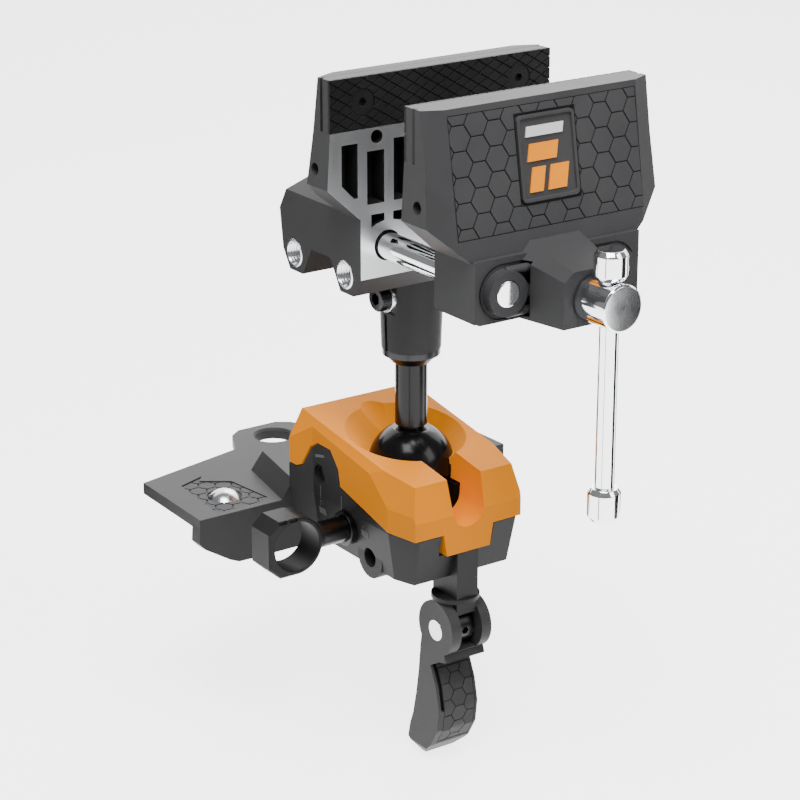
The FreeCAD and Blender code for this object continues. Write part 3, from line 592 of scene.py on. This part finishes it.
def jawPad(name, body, facing, planeY, replaced):
    # facing is -1 for the fixed jaw, whose face looks towards the user
    width, height = lining["width"], lining["height"]
    loop = [(-width / 2, -height / 2), (width / 2, -height / 2), (width / 2, height / 2), (-width / 2, height / 2)]
    tips = plate(name + "Tips", loop, -lining["sink"], lining["tip"] - lining["skim"], Matrix.Identity(4),
                 [blackRubber])
    runTree(tips, diamondKnurl, {"Columns": int(width / lining["pitchX"] * 2) + 3,
                                 "Rows": int(height / lining["pitchZ"]) + 3,
                                 "Pitch across": lining["pitchX"] * mm, "Pitch up": lining["pitchZ"] * mm,
                                 "Height": lining["tip"] * mm})
    tips.data.transform(Matrix.Translation((0, 0, (lining["pad"] - lining["tip"] + lining["skim"]) * mm)))
    slab = plate(name + "Slab", loop, 0.0, lining["base"] + 0.05, Matrix.Identity(4), [blackRubber])
    sheet = join(name, [slab, tips])
    for x in (-lining["screwX"], lining["screwX"]):
        place = (x, height / 2 - lining["screwDrop"], -2.0)
        hole = lathe("hole", [(0, 0), (lining["screwRadius"], 0), (lining["screwRadius"], 8), (0, 8)], place,
                     (0, 0, 1), [blackRubber], 40)
        carve(sheet, hole)
        discard(hole)
    # flat frame: x along the jaw, y up, z out of the face
    turn = Matrix(((1, 0, 0, 0), (0, 0, facing, 0), (0, 1, 0, 0), (0, 0, 0, 1)))
    shift = Vector((0, planeY - facing * lining["pad"], head["topZ"] - height / 2)) * mm
    sheet.data.transform(Matrix.Translation(shift) @ turn)
    if facing > 0:
        sheet.data.flip_normals()
    return settle(sheet, body, "black_pad", replaced)


jawPad("fixedJawPad", "head", -1, head["faceY"], "fixed_jaw_pad")
jawPad("movableJawPad", "slide_jaw", 1, head["faceY"] - head["gap"], "movable_jaw_pad")
for nodeName, pieceName, body in (("fixed_jaw_insert", "fixedJawBar", "head"),
                                  ("movable_jaw_insert", "movableJawBar", "slide_jaw")):
    settle(cadCopy(nodeName, pieceName, [powderCoat], 0.0004), body, "powder_coat", nodeName)
for nodeName, pieceName, body in (("fixed_insert_screws", "fixedJawScrews", "head"),
                                  ("movable_insert_screws", "movableJawScrews", "slide_jaw")):
    settle(cadCopy(nodeName, pieceName, [blackRubber], 0.00022), body, "black_oxide", nodeName)
print("jaw linings done")


# jaw castings: a machined front face, and painted shade (a near-black coat) on the pockets behind it
pockets = {"halfX": 58.0, "low": 166.0, "high": 212.0, "depth": 11.4, "slack": 0.2}


def fixedJawFinish(face):
    x, y, z = face.center / mm
    if abs(y - head["faceY"]) < pockets["slack"] and face.normal.y < -0.9:
        return 1
    inside = head["faceY"] + pockets["slack"] < y < head["faceY"] + pockets["depth"]
    if inside and abs(x) < pockets["halfX"] and pockets["low"] < z < pockets["high"]:
        return 2
    return 0


fixedJaw = cadCopy("fixed_jaw_body", "fixedJawCasting", [powderCoat, machinedFace, recessShadeCoat], 0.0006, 2,
                   chooser=fixedJawFinish)
settle(fixedJaw, "head", "powder_coat", "fixed_jaw_body")

# the sloping front of the movable jaw: x along the jaw, y up the slope, z out of it
frontPanel = {"half": 52.8, "top": -3.0, "foot": 58.6, "depth": 0.55, "seam": 0.35, "groove": 0.55,
              "column": 9.9, "row": 11.4, "across": 2.0, "shift": -30.5, "thickTop": 16.5, "run": 9.0, "rise": 51.7}
badge = {"halfX": 16.2, "halfUp": 19.6, "middle": 27.4, "rim": 1.7, "field": -0.3, "proud": 0.9, "corner": 2.6}
slope = math.atan2(frontPanel["run"], frontPanel["rise"])
slopeUp = Vector((0, math.sin(slope), math.cos(slope)))
slopeOut = Vector((0, -math.cos(slope), math.sin(slope)))
slopeStart = Vector((0, head["faceY"] - head["gap"] - frontPanel["thickTop"], head["topZ"])) * mm
frontMatrix = Matrix.Translation(slopeStart) @ Matrix(
    ((1, 0, 0, 0), (0, slopeUp.y, slopeOut.y, 0), (0, slopeUp.z, slopeOut.z, 0), (0, 0, 0, 1)))


def frontOutline(gap):
    half, top, foot = frontPanel["half"] - gap, frontPanel["top"] - gap, -frontPanel["foot"] + gap
    return [(-half, top), (-half, foot), (half, foot), (half, top)]


frontTiles = plate("frontTiles", frontOutline(frontPanel["seam"]), -frontPanel["depth"] - 0.1, 0.02,
                   Matrix.Identity(4), [tileCoat])
runTree(frontTiles, hexTiles, {"Columns": 15, "Rows": 10, "Column pitch": frontPanel["column"] * mm,
                               "Row pitch": frontPanel["row"] * mm, "Groove": frontPanel["groove"] * mm,
                               "Across": frontPanel["across"] * mm, "Shift": frontPanel["shift"] * mm})
roundEdges(frontTiles, 0.00018, 1, 40.0)
frontTiles.data.transform(frontMatrix)
roomX, roomTop, roomFoot = 17.2, -6.6, -48.2  # a little more than the badge
badgeRoom = plate("badgeRoom", [(-roomX, roomFoot), (roomX, roomFoot), (roomX, roomTop), (-roomX, roomTop)], -3, 3,
                  frontMatrix, [powderCoat])
carve(frontTiles, badgeRoom)
discard(badgeRoom)

bossSink = {"radius": 13.0, "keep": 11.9, "end": 12.0, "depth": 1.0, "face": -187.1}
sinks = [plate("frontSink", frontOutline(0.0), -frontPanel["depth"], 3.0, frontMatrix, [powderCoat])]
upright = Matrix(((1, 0, 0, 0), (0, 0, -1, 0), (0, 1, 0, 0), (0, 0, 0, 1)))
for side in (-1, 1):
    loop = []
    for step in range(25):
        angle = math.pi / 2 + math.pi * step / 24
        loop.append((side * (head["rodX"] - bossSink["radius"] * math.cos(angle)),
                     head["rodZ"] + bossSink["radius"] * math.sin(angle)))
    loop += [(side * bossSink["end"], head["rodZ"] - bossSink["radius"]),
             (side * bossSink["end"], head["rodZ"] + bossSink["radius"])]
    place = Matrix.Translation((0, bossSink["face"] * mm, 0)) @ upright
    sink = plate("bossSink", loop, -bossSink["depth"], 5.0, place, [powderCoat])
    keep = lathe("keep", [(0, -3), (bossSink["keep"], -3), (bossSink["keep"], 8), (0, 8)],
                 (side * head["rodX"], bossSink["face"], head["rodZ"]), (0, -1, 0), [powderCoat], 48)
    carve(sink, keep)
    discard(keep)
    sinks.append(sink)


# painted shade: faces on the sunk floor of the front panel take the near-black coat, seen between the tiles
def movableJawFinish(face):
    sunk = (face.center - slopeStart).dot(slopeOut) + frontPanel["depth"] * mm
    return 1 if abs(sunk) < 2e-5 and face.normal.dot(slopeOut) > 0.9 else 0


movableJaw = cadCopy("movable_jaw_body", "movableJawCasting", [powderCoat, recessShadeCoat], 0.0006, 2,
                     chooser=movableJawFinish, tools=sinks)
discard(*sinks)

# the two ribs beside each rod boss
bossRib = {"rise": 9.9, "radius": 2.0, "front": -190.8, "end": 15.4}
ribs = []
for side in (-1, 1):
    for lift in (-bossRib["rise"], bossRib["rise"]):
        place = (side * head["rodX"], bossRib["front"] + bossRib["radius"], head["rodZ"] + lift)
        rod = roundedRod(bossRib["radius"], 0, head["rodX"] - bossRib["end"], bossRib["radius"] * 0.7, 4)
        ribs.append(lathe("rib", rod, place, (-side, 0, 0), [powderCoat], 20))
movableJaw = join("movableJawCasting", [movableJaw] + ribs)
settle(movableJaw, "slide_jaw", "powder_coat", "movable_jaw_body")
settle(frontTiles, "slide_jaw", "powder_coat")



# badge: a raised rim, a dark field and a plain motif of bars
def roundedLoop(halfX, halfY, corner, steps=6):
    loop = []
    for quarter, (sx, sy) in enumerate(((1, 1), (-1, 1), (-1, -1), (1, -1))):
        for step in range(steps + 1):
            angle = math.pi / 2 * (quarter + step / steps)
            loop.append((sx * (halfX - corner) + corner * math.cos(angle),
                         sy * (halfY - corner) + corner * math.sin(angle)))
    return loop


badgeMatrix = frontMatrix @ Matrix.Translation((0, -badge["middle"] * mm, 0))
badgeBase = plate("badgeBase", roundedLoop(badge["halfX"], badge["halfUp"], badge["corner"]), -1.4, badge["proud"],
                  badgeMatrix, [tileCoat])
badgeSink = plate("badgeSink", roundedLoop(badge["halfX"] - badge["rim"], badge["halfUp"] - badge["rim"], 1.6),
                  badge["field"], 4.0, badgeMatrix, [tileCoat])
carve(badgeBase, badgeSink)
discard(badgeSink)
roundEdges(badgeBase, 0.00035, 2)
bars = []
motif = {"lean": 0.22, "sunk": 0.1, "raised": 0.7}
for x0, y0, x1, y1, tint in ((-11.6, 9.6, 9.0, 14.2, whiteInk), (-11.6, -1.4, 4.6, 6.4, orangeCoat),
                             (-11.6, -15.2, -4.2, -4.2, orangeCoat), (-1.2, -15.2, 9.0, -4.2, orangeCoat)):
    lean = (y1 - y0) * motif["lean"]
    bars.append(plate("badgeBar", [(x0, y0), (x1, y0), (x1 + lean, y1), (x0 + lean, y1)],
                      badge["field"] - motif["sunk"], badge["field"] + motif["raised"], badgeMatrix, [tint]))
badgeWhole = join("badgeFace", [badgeBase] + bars)
settle(badgeWhole, "slide_jaw", "badge", "badge_plate")
print("castings done")


# guide rods and lead screw
def socketCut(obj, place, axis, across, depth):
    hexagon = [(across / math.sqrt(3) * math.cos(math.pi / 3 * corner),
                across / math.sqrt(3) * math.sin(math.pi / 3 * corner)) for corner in range(6)]
    matrix = Matrix.Translation(Vector(place) * mm) @ aim(axis)
    tool = plate("socketTool", hexagon, -depth, 4.0, matrix, [blackOxide])
    carve(obj, tool)
    discard(tool)


guide = {"radius": 6.5, "length": 175.0, "rear": -17.0, "edge": 1.0}
rodProfile = roundedRod(guide["radius"], 0, guide["length"], guide["edge"], 4)
rods = [lathe("rod", rodProfile, (side * head["rodX"], guide["rear"], head["rodZ"]), (0, -1, 0), [chromePlate], 64)
        for side in (-1, 1)]
settle(join("guideRods", rods), "slide_jaw", "chrome", "guide_rods")

screw = {"core": 5.9, "turnedFrom": -156.0, "turnedLength": 119.5, "threadFrom": -155.5, "threadLength": 118.5,
         "pitch": 4.0, "threadCrest": 0.9, "threadRoot": 3.0, "threadDepth": 2.1}
tubeProfile = [(screw["core"], 0), (9.0, 0), (9.0, screw["turnedLength"]), (screw["core"], screw["turnedLength"])]
tube = lathe("tube", tubeProfile, (0, screw["turnedFrom"], head["screwZ"]), (0, 1, 0), [chromePlate], 64)
leadScrew = cadCopy("lead_screw", "leadScrewShank", [chromePlate], 0.0005, 3, tools=[tube])
discard(tube)
thread = emptyPiece("leadThread")
runTree(thread, threadTree(), {"Turns": screw["threadLength"] / screw["pitch"], "Radius": screw["core"] * mm,
                               "Length": screw["threadLength"] * mm, "Crest": screw["threadCrest"] * mm,
                               "Root": screw["threadRoot"] * mm, "Depth": screw["threadDepth"] * mm})
thread.data.transform(Matrix.Translation(Vector((0, screw["threadFrom"], head["screwZ"])) * mm) @ aim((0, 1, 0)))
settle(join("leadScrewWhole", [leadScrew, thread]), "screw", "chrome", "lead_screw")
for nodeName, pieceName, body, finish, slotName in (
        ("thrust_washer", "thrustWasher", "screw", brightSteel, "steel"),
        ("thrust_collar", "thrustCollar", "screw", dullSteel, "steel"),
        ("screw_end_ring", "screwEndRing", "screw", dullSteel, "steel"),
        ("tommy_bar", "tommyBar", "handle", chromePlate, "chrome"),
        ("tommy_knobs", "tommyKnobs", "handle", chromePlate, "chrome"),
        ("lead_nut", "leadNut", "head", screwBronze, "bronze"),
        ("column_ring", "columnRing", "head", blackOxide, "black_oxide"),
        ("clamp_washer", "clampWasher", "head", brightSteel, "steel"),
        ("cam_pin", "camPin", "lever", brightSteel, "steel"),
        ("cover_pin", "coverPin", "base", blackOxide, "black_oxide"),
        ("stud_shaft", "studShaft", "stud", blackPolish, "gloss_black"),
        ("ball", "studBall", "stud", blackPolish, "gloss_black")):
    settle(cadCopy(nodeName, pieceName, [finish], 0.0003), body, slotName, nodeName)
drawSocket = {"place": (0, -118.9, -43.0), "across": 3.6, "depth": 2.4}
drawBar = cadCopy("drawbar", "drawBar", [blackOxide], 0.0003)
socketCut(drawBar, drawSocket["place"], (0, -1, 0), drawSocket["across"], drawSocket["depth"])
settle(drawBar, "pull_rod", "black_oxide", "drawbar")
print("turned pieces done")


# threaded bushes in the sides of the guide block
bush = {"outer": 7.2, "inner": 5.0, "length": 12.2, "turns": 7, "tooth": 0.75, "x": 34.8, "z": 141.5,
        "along": (-82.9, -38.5)}
profile = [(bush["outer"], 0), (bush["outer"], bush["length"] - 0.3), (bush["outer"] - 0.3, bush["length"]),
           (bush["inner"] + 1.0, bush["length"])]
for turn in range(bush["turns"], 0, -1):
    height = 0.5 + turn * (bush["length"] - 1.2) / bush["turns"]
    profile += [(bush["inner"] + bush["tooth"], height), (bush["inner"] + 0.05, height - 0.75)]
profile += [(bush["inner"], 0)]
bushes = []
for side in (-1, 1):
    for y in bush["along"]:
        bushes.append(lathe("bush", profile, (side * bush["x"], y, bush["z"]), (side, 0, 0), [brightSteel], 48))
settle(join("sideBushes", bushes), "head", "steel", "accessory_inserts")

# clamp screw on the column: a knurled head with a hexagon socket
clampHead = {"x": -11.0, "z": 121.8, "ribs": 40, "ribRadius": 6.1, "ribLength": 3.8, "ribX": -18.7,
             "socketX": -21.4, "socket": 5.6, "socketDepth": 3.6}
clampProfile = [(0, 0), (4.0, 0), (4.0, 5.2), (5.9, 5.2), (6.15, 5.5), (6.15, 9.8), (5.6, 10.4), (0, 10.4)]
clampScrew = lathe("clampScrew", clampProfile, (clampHead["x"], head["columnY"], clampHead["z"]), (-1, 0, 0),
                   [blackOxide], 48)
socketCut(clampScrew, (clampHead["socketX"], head["columnY"], clampHead["z"]), (-1, 0, 0), clampHead["socket"],
          clampHead["socketDepth"])
rimRibs = ribTree()
ribs = emptyPiece("clampRibs")
runTree(ribs, rimRibs, {"Count": clampHead["ribs"], "Radius": clampHead["ribRadius"] * mm,
                         "Size": (0.0007, 0.00055, clampHead["ribLength"] * mm)})
ribs.data.transform(Matrix.Translation(Vector((clampHead["ribX"], head["columnY"], clampHead["z"])) * mm)
                    @ aim((1, 0, 0)))
settle(join("columnClampScrew", [clampScrew, ribs]), "head", "black_oxide", "column_clamp_screw")
print("head fittings done")


# clamp cover
cover = cadCopy("clamp_cover", "clampCover", [orangeCoat], 0.0007, 2)
settle(cover, "cover", "orange_coat", "clamp_cover")


# base casting with its printed marks
# the base takes the darker coat, painted shade for its low, dimly lit sides
base = cadCopy("base_body", "baseCasting", [footCoat], 0.0005, 2)


def pressOn(obj, target, proud):
    # every point moves sideways on to the target's left face
    for vert in obj.data.vertices:
        hit, place = target.ray_cast(Vector((-0.08, vert.co.y, vert.co.z)), Vector((1, 0, 0)))[:2]
        if hit:
            vert.co.x = place.x - proud * mm - vert.co.x
    return obj


def markStrip(name, points, width):
    # a flat line through the points, given as (y, z) in millimetres
    bm = bmesh.new()
    for (ya, za), (yb, zb) in zip(points, points[1:]):
        along = Vector((0, yb - ya, zb - za)).normalized() * width / 2
        across = Vector((0, -along.z, along.y))
        a, b = Vector((0, ya, za)) - along, Vector((0, yb, zb)) + along
        corners = [bm.verts.new(v * mm) for v in (a - across, b - across, b + across, a + across)]
        bm.faces.new(corners)
    bmesh.ops.subdivide_edges(bm, edges=bm.edges[:], cuts=5, use_grid_fill=True)
    return newPiece(name, bm, [grayInk])


def padlock(y, z, opened):
    size = 2.1
    body = [[(y - size, z - 1.6), (y + size, z - 1.6)], [(y - size, z), (y + size, z)]]
    lift = 1.4 if opened else 0.0
    shackle = []
    for step in range(9):
        angle = math.pi * step / 8
        shackle.append((y + 1.4 * math.cos(angle), z + 2.0 + lift + 1.5 * math.sin(angle)))
    shackle.insert(0, (shackle[0][0], z + (2.0 if opened else 0.8)))
    if not opened:
        shackle.append((shackle[-1][0], z + 0.8))
    parts = [markStrip("lockBody", line, 1.9) for line in body]
    return parts + [markStrip("shackle", shackle, 0.6)]


marks = {"hingeY": -42.6, "edgeY": -61.6, "closedY": -81.0, "line": 0.55, "slot": 1.5, "proud": 0.09}
prints = [markStrip("markLine", [(marks["hingeY"], 18.0), (marks["hingeY"], 10.8)], marks["line"]),
          markStrip("markLine", [(marks["edgeY"], 18.2), (marks["edgeY"], 11.0)], marks["line"]),
          markStrip("markSlot", [(-38.6, 33.0), (-45.4, 34.6)], marks["slot"])]
prints += padlock(marks["hingeY"], 4.6, True) + padlock(marks["closedY"], 5.2, False)
for strip in prints:
    pressOn(strip, base, marks["proud"])
printed = join("baseMarks", prints)
settle(printed, "base", "badge")


# ring lock: ribbed collar, pin and a pull ring with two slots on its front edge
lock = {"y": -66.0, "z": 3.0, "ribX": -35.3, "slotsX": (-77.2, -71.2), "slotY": -72.9, "slotTop": 18.0}
ringRibs = emptyPiece("collarRibs")
runTree(ringRibs, rimRibs, {"Count": 30, "Radius": 0.0083, "Size": (0.0009, 0.0008, 0.0050)})
ringRibs.data.transform(Matrix.Translation(Vector((lock["ribX"], lock["y"], lock["z"])) * mm) @ aim((1, 0, 0)))
collar = cadCopy("lock_collar", "lockCollarCore", [blackOxide], 0.0003)
settle(join("lockCollar", [collar, ringRibs]), "base", "black_oxide", "lock_collar")
settle(base, "base", "powder_coat", "base_body")
settle(cadCopy("lock_shaft", "lockShaft", [blackOxide], 0.0003), "lock", "black_oxide", "lock_shaft")
slots = []
for x in lock["slotsX"]:
    place = Matrix.Translation(Vector((x, lock["slotY"], lock["slotTop"])) * mm)
    slots.append(plate("ringSlot", roundedLoop(2.3, 1.3, 0.3), -1.7, 1.0, place, [blackOxide]))
ringTop = cadCopy("lock_ring", "lockRing", [blackRubber], 0.0003, 2, tools=slots)
discard(*slots)
settle(ringTop, "lock", "black_oxide", "lock_ring")


# pressure washer and lever: only the washer's lower edge is bare steel; the rest takes the darker base coat with
# its painted shade
def washerFinish(face):
    return 0 if -27.2 < face.center.z / mm < -26.6 else 1


washer = cadCopy("cam_washer", "camWasher", [brightSteel, footCoat], 0.0004, chooser=washerFinish)
settle(washer, "base", "steel", "cam_washer")
settle(cadCopy("cam_lever", "camLever", [powderCoat], 0.0006), "lever", "powder_coat", "cam_lever")


# the grip: hexagon tiles that stand on the panel and follow its curve
grip = {"left": -8.3, "right": 10.3, "low": -107.4, "high": -66.6, "middle": -87.0, "y": -112.0, "half": 9.9,
        "column": 7.4, "row": 8.54, "groove": 0.45, "across": 1.0, "proud": 0.35}
# painted shade: the core under the tiles takes the near-black coat, seen in the grooves
gripCore = cadCopy("lever_grip", "leverGrip", [recessShadeCoat], 0.0003)
gripSpan = [(grip["left"], grip["low"]), (grip["right"], grip["low"]),
            (grip["right"], grip["high"]), (grip["left"], grip["high"])]
gripTiles = plate("gripTiles", gripSpan, -grip["half"], grip["half"], Matrix.Identity(4), [tileCoat])
gripTiles.data.transform(Matrix.Translation((0, -grip["middle"] * mm, 0)))
runTree(gripTiles, hexTiles, {"Columns": 7, "Rows": 9, "Column pitch": grip["column"] * mm,
                              "Row pitch": grip["row"] * mm, "Groove": grip["groove"] * mm,
                              "Across": grip["across"] * mm})
gripTiles.data.transform(Matrix.Translation((0, grip["middle"] * mm, 0)))
gripTiles.data.transform(Matrix.Translation((0, grip["y"] * mm, 0)) @ Matrix(
    ((1, 0, 0, 0), (0, 0, 1, 0), (0, 1, 0, 0), (0, 0, 0, 1))))
gripTiles.data.flip_normals()
gripShape = cadCopy("lever_grip", "gripShape", [tileCoat], 0.0)
meet = gripTiles.modifiers.new("meet", "BOOLEAN")
meet.operation = "INTERSECT"
meet.solver = "EXACT"
meet.object = gripShape
freeze(gripTiles)
discard(gripShape)
gripCore.data.transform(Matrix.Translation((0, grip["proud"] * mm, 0)))
settle(join("leverGrip", [gripCore, gripTiles]), "lever", "grip", "lever_grip")
print("base pieces done")

settle(cadCopy("cup_pads", "cupPads", [blackRubber], 0.0005), "base", "black_pad", "cup_pads")

# bench plate: hexagon tiles in the sunken field round each bolt
mount = {"inset": 0.985, "insetY": 0.97, "outward": 1.0, "low": 4.0, "high": 5.55, "column": 7.5, "row": 8.66,
         "groove": 0.8, "boltX": 67.2, "boltRoom": 9.2}
field = [(79.2, 23.3), (63.7, 29.0), (68.0, 24.0), (54.3, 14.5), (50.5, -15.1), (57.2, -19.0), (82.9, -19.0)]
tiles = []
for side in (-1, 1):
    loop = [(side * x * mount["inset"] + side * mount["outward"], y * mount["insetY"]) for x, y in field]
    if side < 0:
        loop.reverse()
    tile = plate("plateTiles", loop, mount["low"], mount["high"], Matrix.Identity(4), [tileCoat])
    runTree(tile, hexTiles, {"Columns": 25, "Rows": 8, "Column pitch": mount["column"] * mm,
                             "Row pitch": mount["row"] * mm, "Groove": mount["groove"] * mm})
    boltRoom = lathe("boltRoom", [(0, 0), (mount["boltRoom"], 0), (mount["boltRoom"], 12), (0, 12)],
                     (side * mount["boltX"], 0, 0), (0, 0, 1), [tileCoat], 48)
    carve(tile, boltRoom)
    discard(boltRoom)
    roundEdges(tile, 0.0002, 1, 40.0)
    tiles.append(tile)
settle(join("plateTiles", tiles), "base", "powder_coat")
settle(cadCopy("bench_plate", "benchPlate", [powderCoat], 0.0007), "base", "powder_coat", "bench_plate")
settle(cadCopy("carriage_bolts", "benchBolts", [brightSteel], 0.0003), "base", "steel", "carriage_bolts")
print("bench plate done")

# the CAD pieces behind the finished ones carry the same finishes
slotFinishes = {"powder_coat": powderCoat, "orange_coat": orangeCoat, "black_pad": blackRubber,
                "chrome": chromePlate,
                "black_oxide": blackOxide, "steel": brightSteel, "bronze": screwBronze, "gloss_black": blackPolish,
                "badge": powderCoat, "grip": powderCoat}
for node in cad.values():
    for entry in node.material_slots:
        for label, finish in slotFinishes.items():
            if entry.material and entry.material.name.startswith(label):
                entry.material = finish
                break
print("CAD finishes assigned")


# floor, lights and camera
studio = {"floor": (0.95, 0.95, 0.95), "glow": 3.2, "room": 0.26, "halfWidth": 4.0, "aim": (0, -0.05, 0.08),
          "camera": (-0.6848, -1.0496, 0.4965), "tilt": 70.14, "turn": -34.73, "lens": 114.48}
sweep = ((-3.0, 0.0), (1.2, 0.0), (1.75, 0.12), (2.1, 0.5), (2.2, 1.1), (2.2, 4.0))  # backdrop side view, y and z
floorTop = cadBounds[0][2] - 0.0005
bm = bmesh.new()
rows = []
for y, z in sweep:
    rows.append([bm.verts.new((x, y, z + floorTop)) for x in (-studio["halfWidth"], studio["halfWidth"])])
for low, high in zip(rows, rows[1:]):
    bm.faces.new([low[0], low[1], high[1], high[0]])
bm.transform(Matrix.Rotation(math.radians(studio["turn"]), 4, "Z"))
paper, paperShader = newMaterial("backdropPaper", studio["floor"], 0.0, 0.8)
paperShader.inputs["Emission Color"].default_value = (1.0, 1.0, 1.0, 1.0)
paperShader.inputs["Emission Strength"].default_value = studio["glow"]
floor = newPiece("backdrop", bm, [paper], 60.0)
cardBlack = newMaterial("cardBlack", (0.012, 0.012, 0.012), 0.0, 0.9)[0]


def softLight(name, place, size, power):
    lamp = bpy.data.lights.new(name, "AREA")
    lamp.shape = "RECTANGLE"
    lamp.size, lamp.size_y = size
    lamp.energy = power
    obj = bpy.data.objects.new(name, lamp)
    obj.location = place
    obj.rotation_euler = (Vector(studio["aim"]) - Vector(place)).to_track_quat("-Z", "Y").to_euler()
    bpy.context.collection.objects.link(obj)
    return obj


def darkCard(name, place, width, height):
    # a dark sheet beside the set, for the bright metal to mirror, given by its half sizes
    bm = bmesh.new()
    outline = ((-width, -height), (width, -height), (width, height), (-width, height))
    bm.faces.new([bm.verts.new((x, 0, z)) for x, z in outline])
    facing = (Vector((0, -0.1, 0.1)) - Vector(place)).to_track_quat("Y", "Z").to_matrix().to_4x4()
    bm.transform(Matrix.Translation(place) @ facing)
    return newPiece(name, bm, [cardBlack])


cards = [darkCard("cardFront", (0.33, -0.44, 0.05), 0.13, 0.16),
         darkCard("cardSliver", (-0.24, -0.30, 0.05), 0.014, 0.16),
         darkCard("cardBackLeft", (-0.14, 0.24, 0.05), 0.10, 0.16),
         darkCard("cardBackRight", (0.42, -0.10, 0.05), 0.10, 0.16)]
floor.visible_diffuse = False  # the glowing paper shows white without lighting the undersides
for card in cards:
    card.visible_camera = False
    card.visible_diffuse = False
    card.visible_shadow = False
keyLight = softLight("keyLight", (-0.35, -0.55, 1.35), (1.0, 0.8), 30.0)
fillLight = softLight("fillLight", (0.6, -1.3, 0.9), (0.6, 0.9), 9.0)
rimLight = softLight("rimLight", (0.9, 0.7, 1.0), (0.9, 0.9), 10.0)
world = bpy.data.worlds.new("softRoom")
world.use_nodes = True
world.node_tree.nodes["Background"].inputs["Color"].default_value = (1.0, 1.0, 1.0, 1.0)
world.node_tree.nodes["Background"].inputs["Strength"].default_value = studio["room"]
bpy.context.scene.world = world

lens = bpy.data.cameras.new("benchView")
lens.lens = studio["lens"]
lens.sensor_width = 36.0
camera = bpy.data.objects.new("benchView", lens)
camera.location = studio["camera"]
camera.rotation_euler = (math.radians(studio["tilt"]), 0.0, math.radians(studio["turn"]))
bpy.context.collection.objects.link(camera)
bpy.context.scene.camera = camera

print("studio ready")
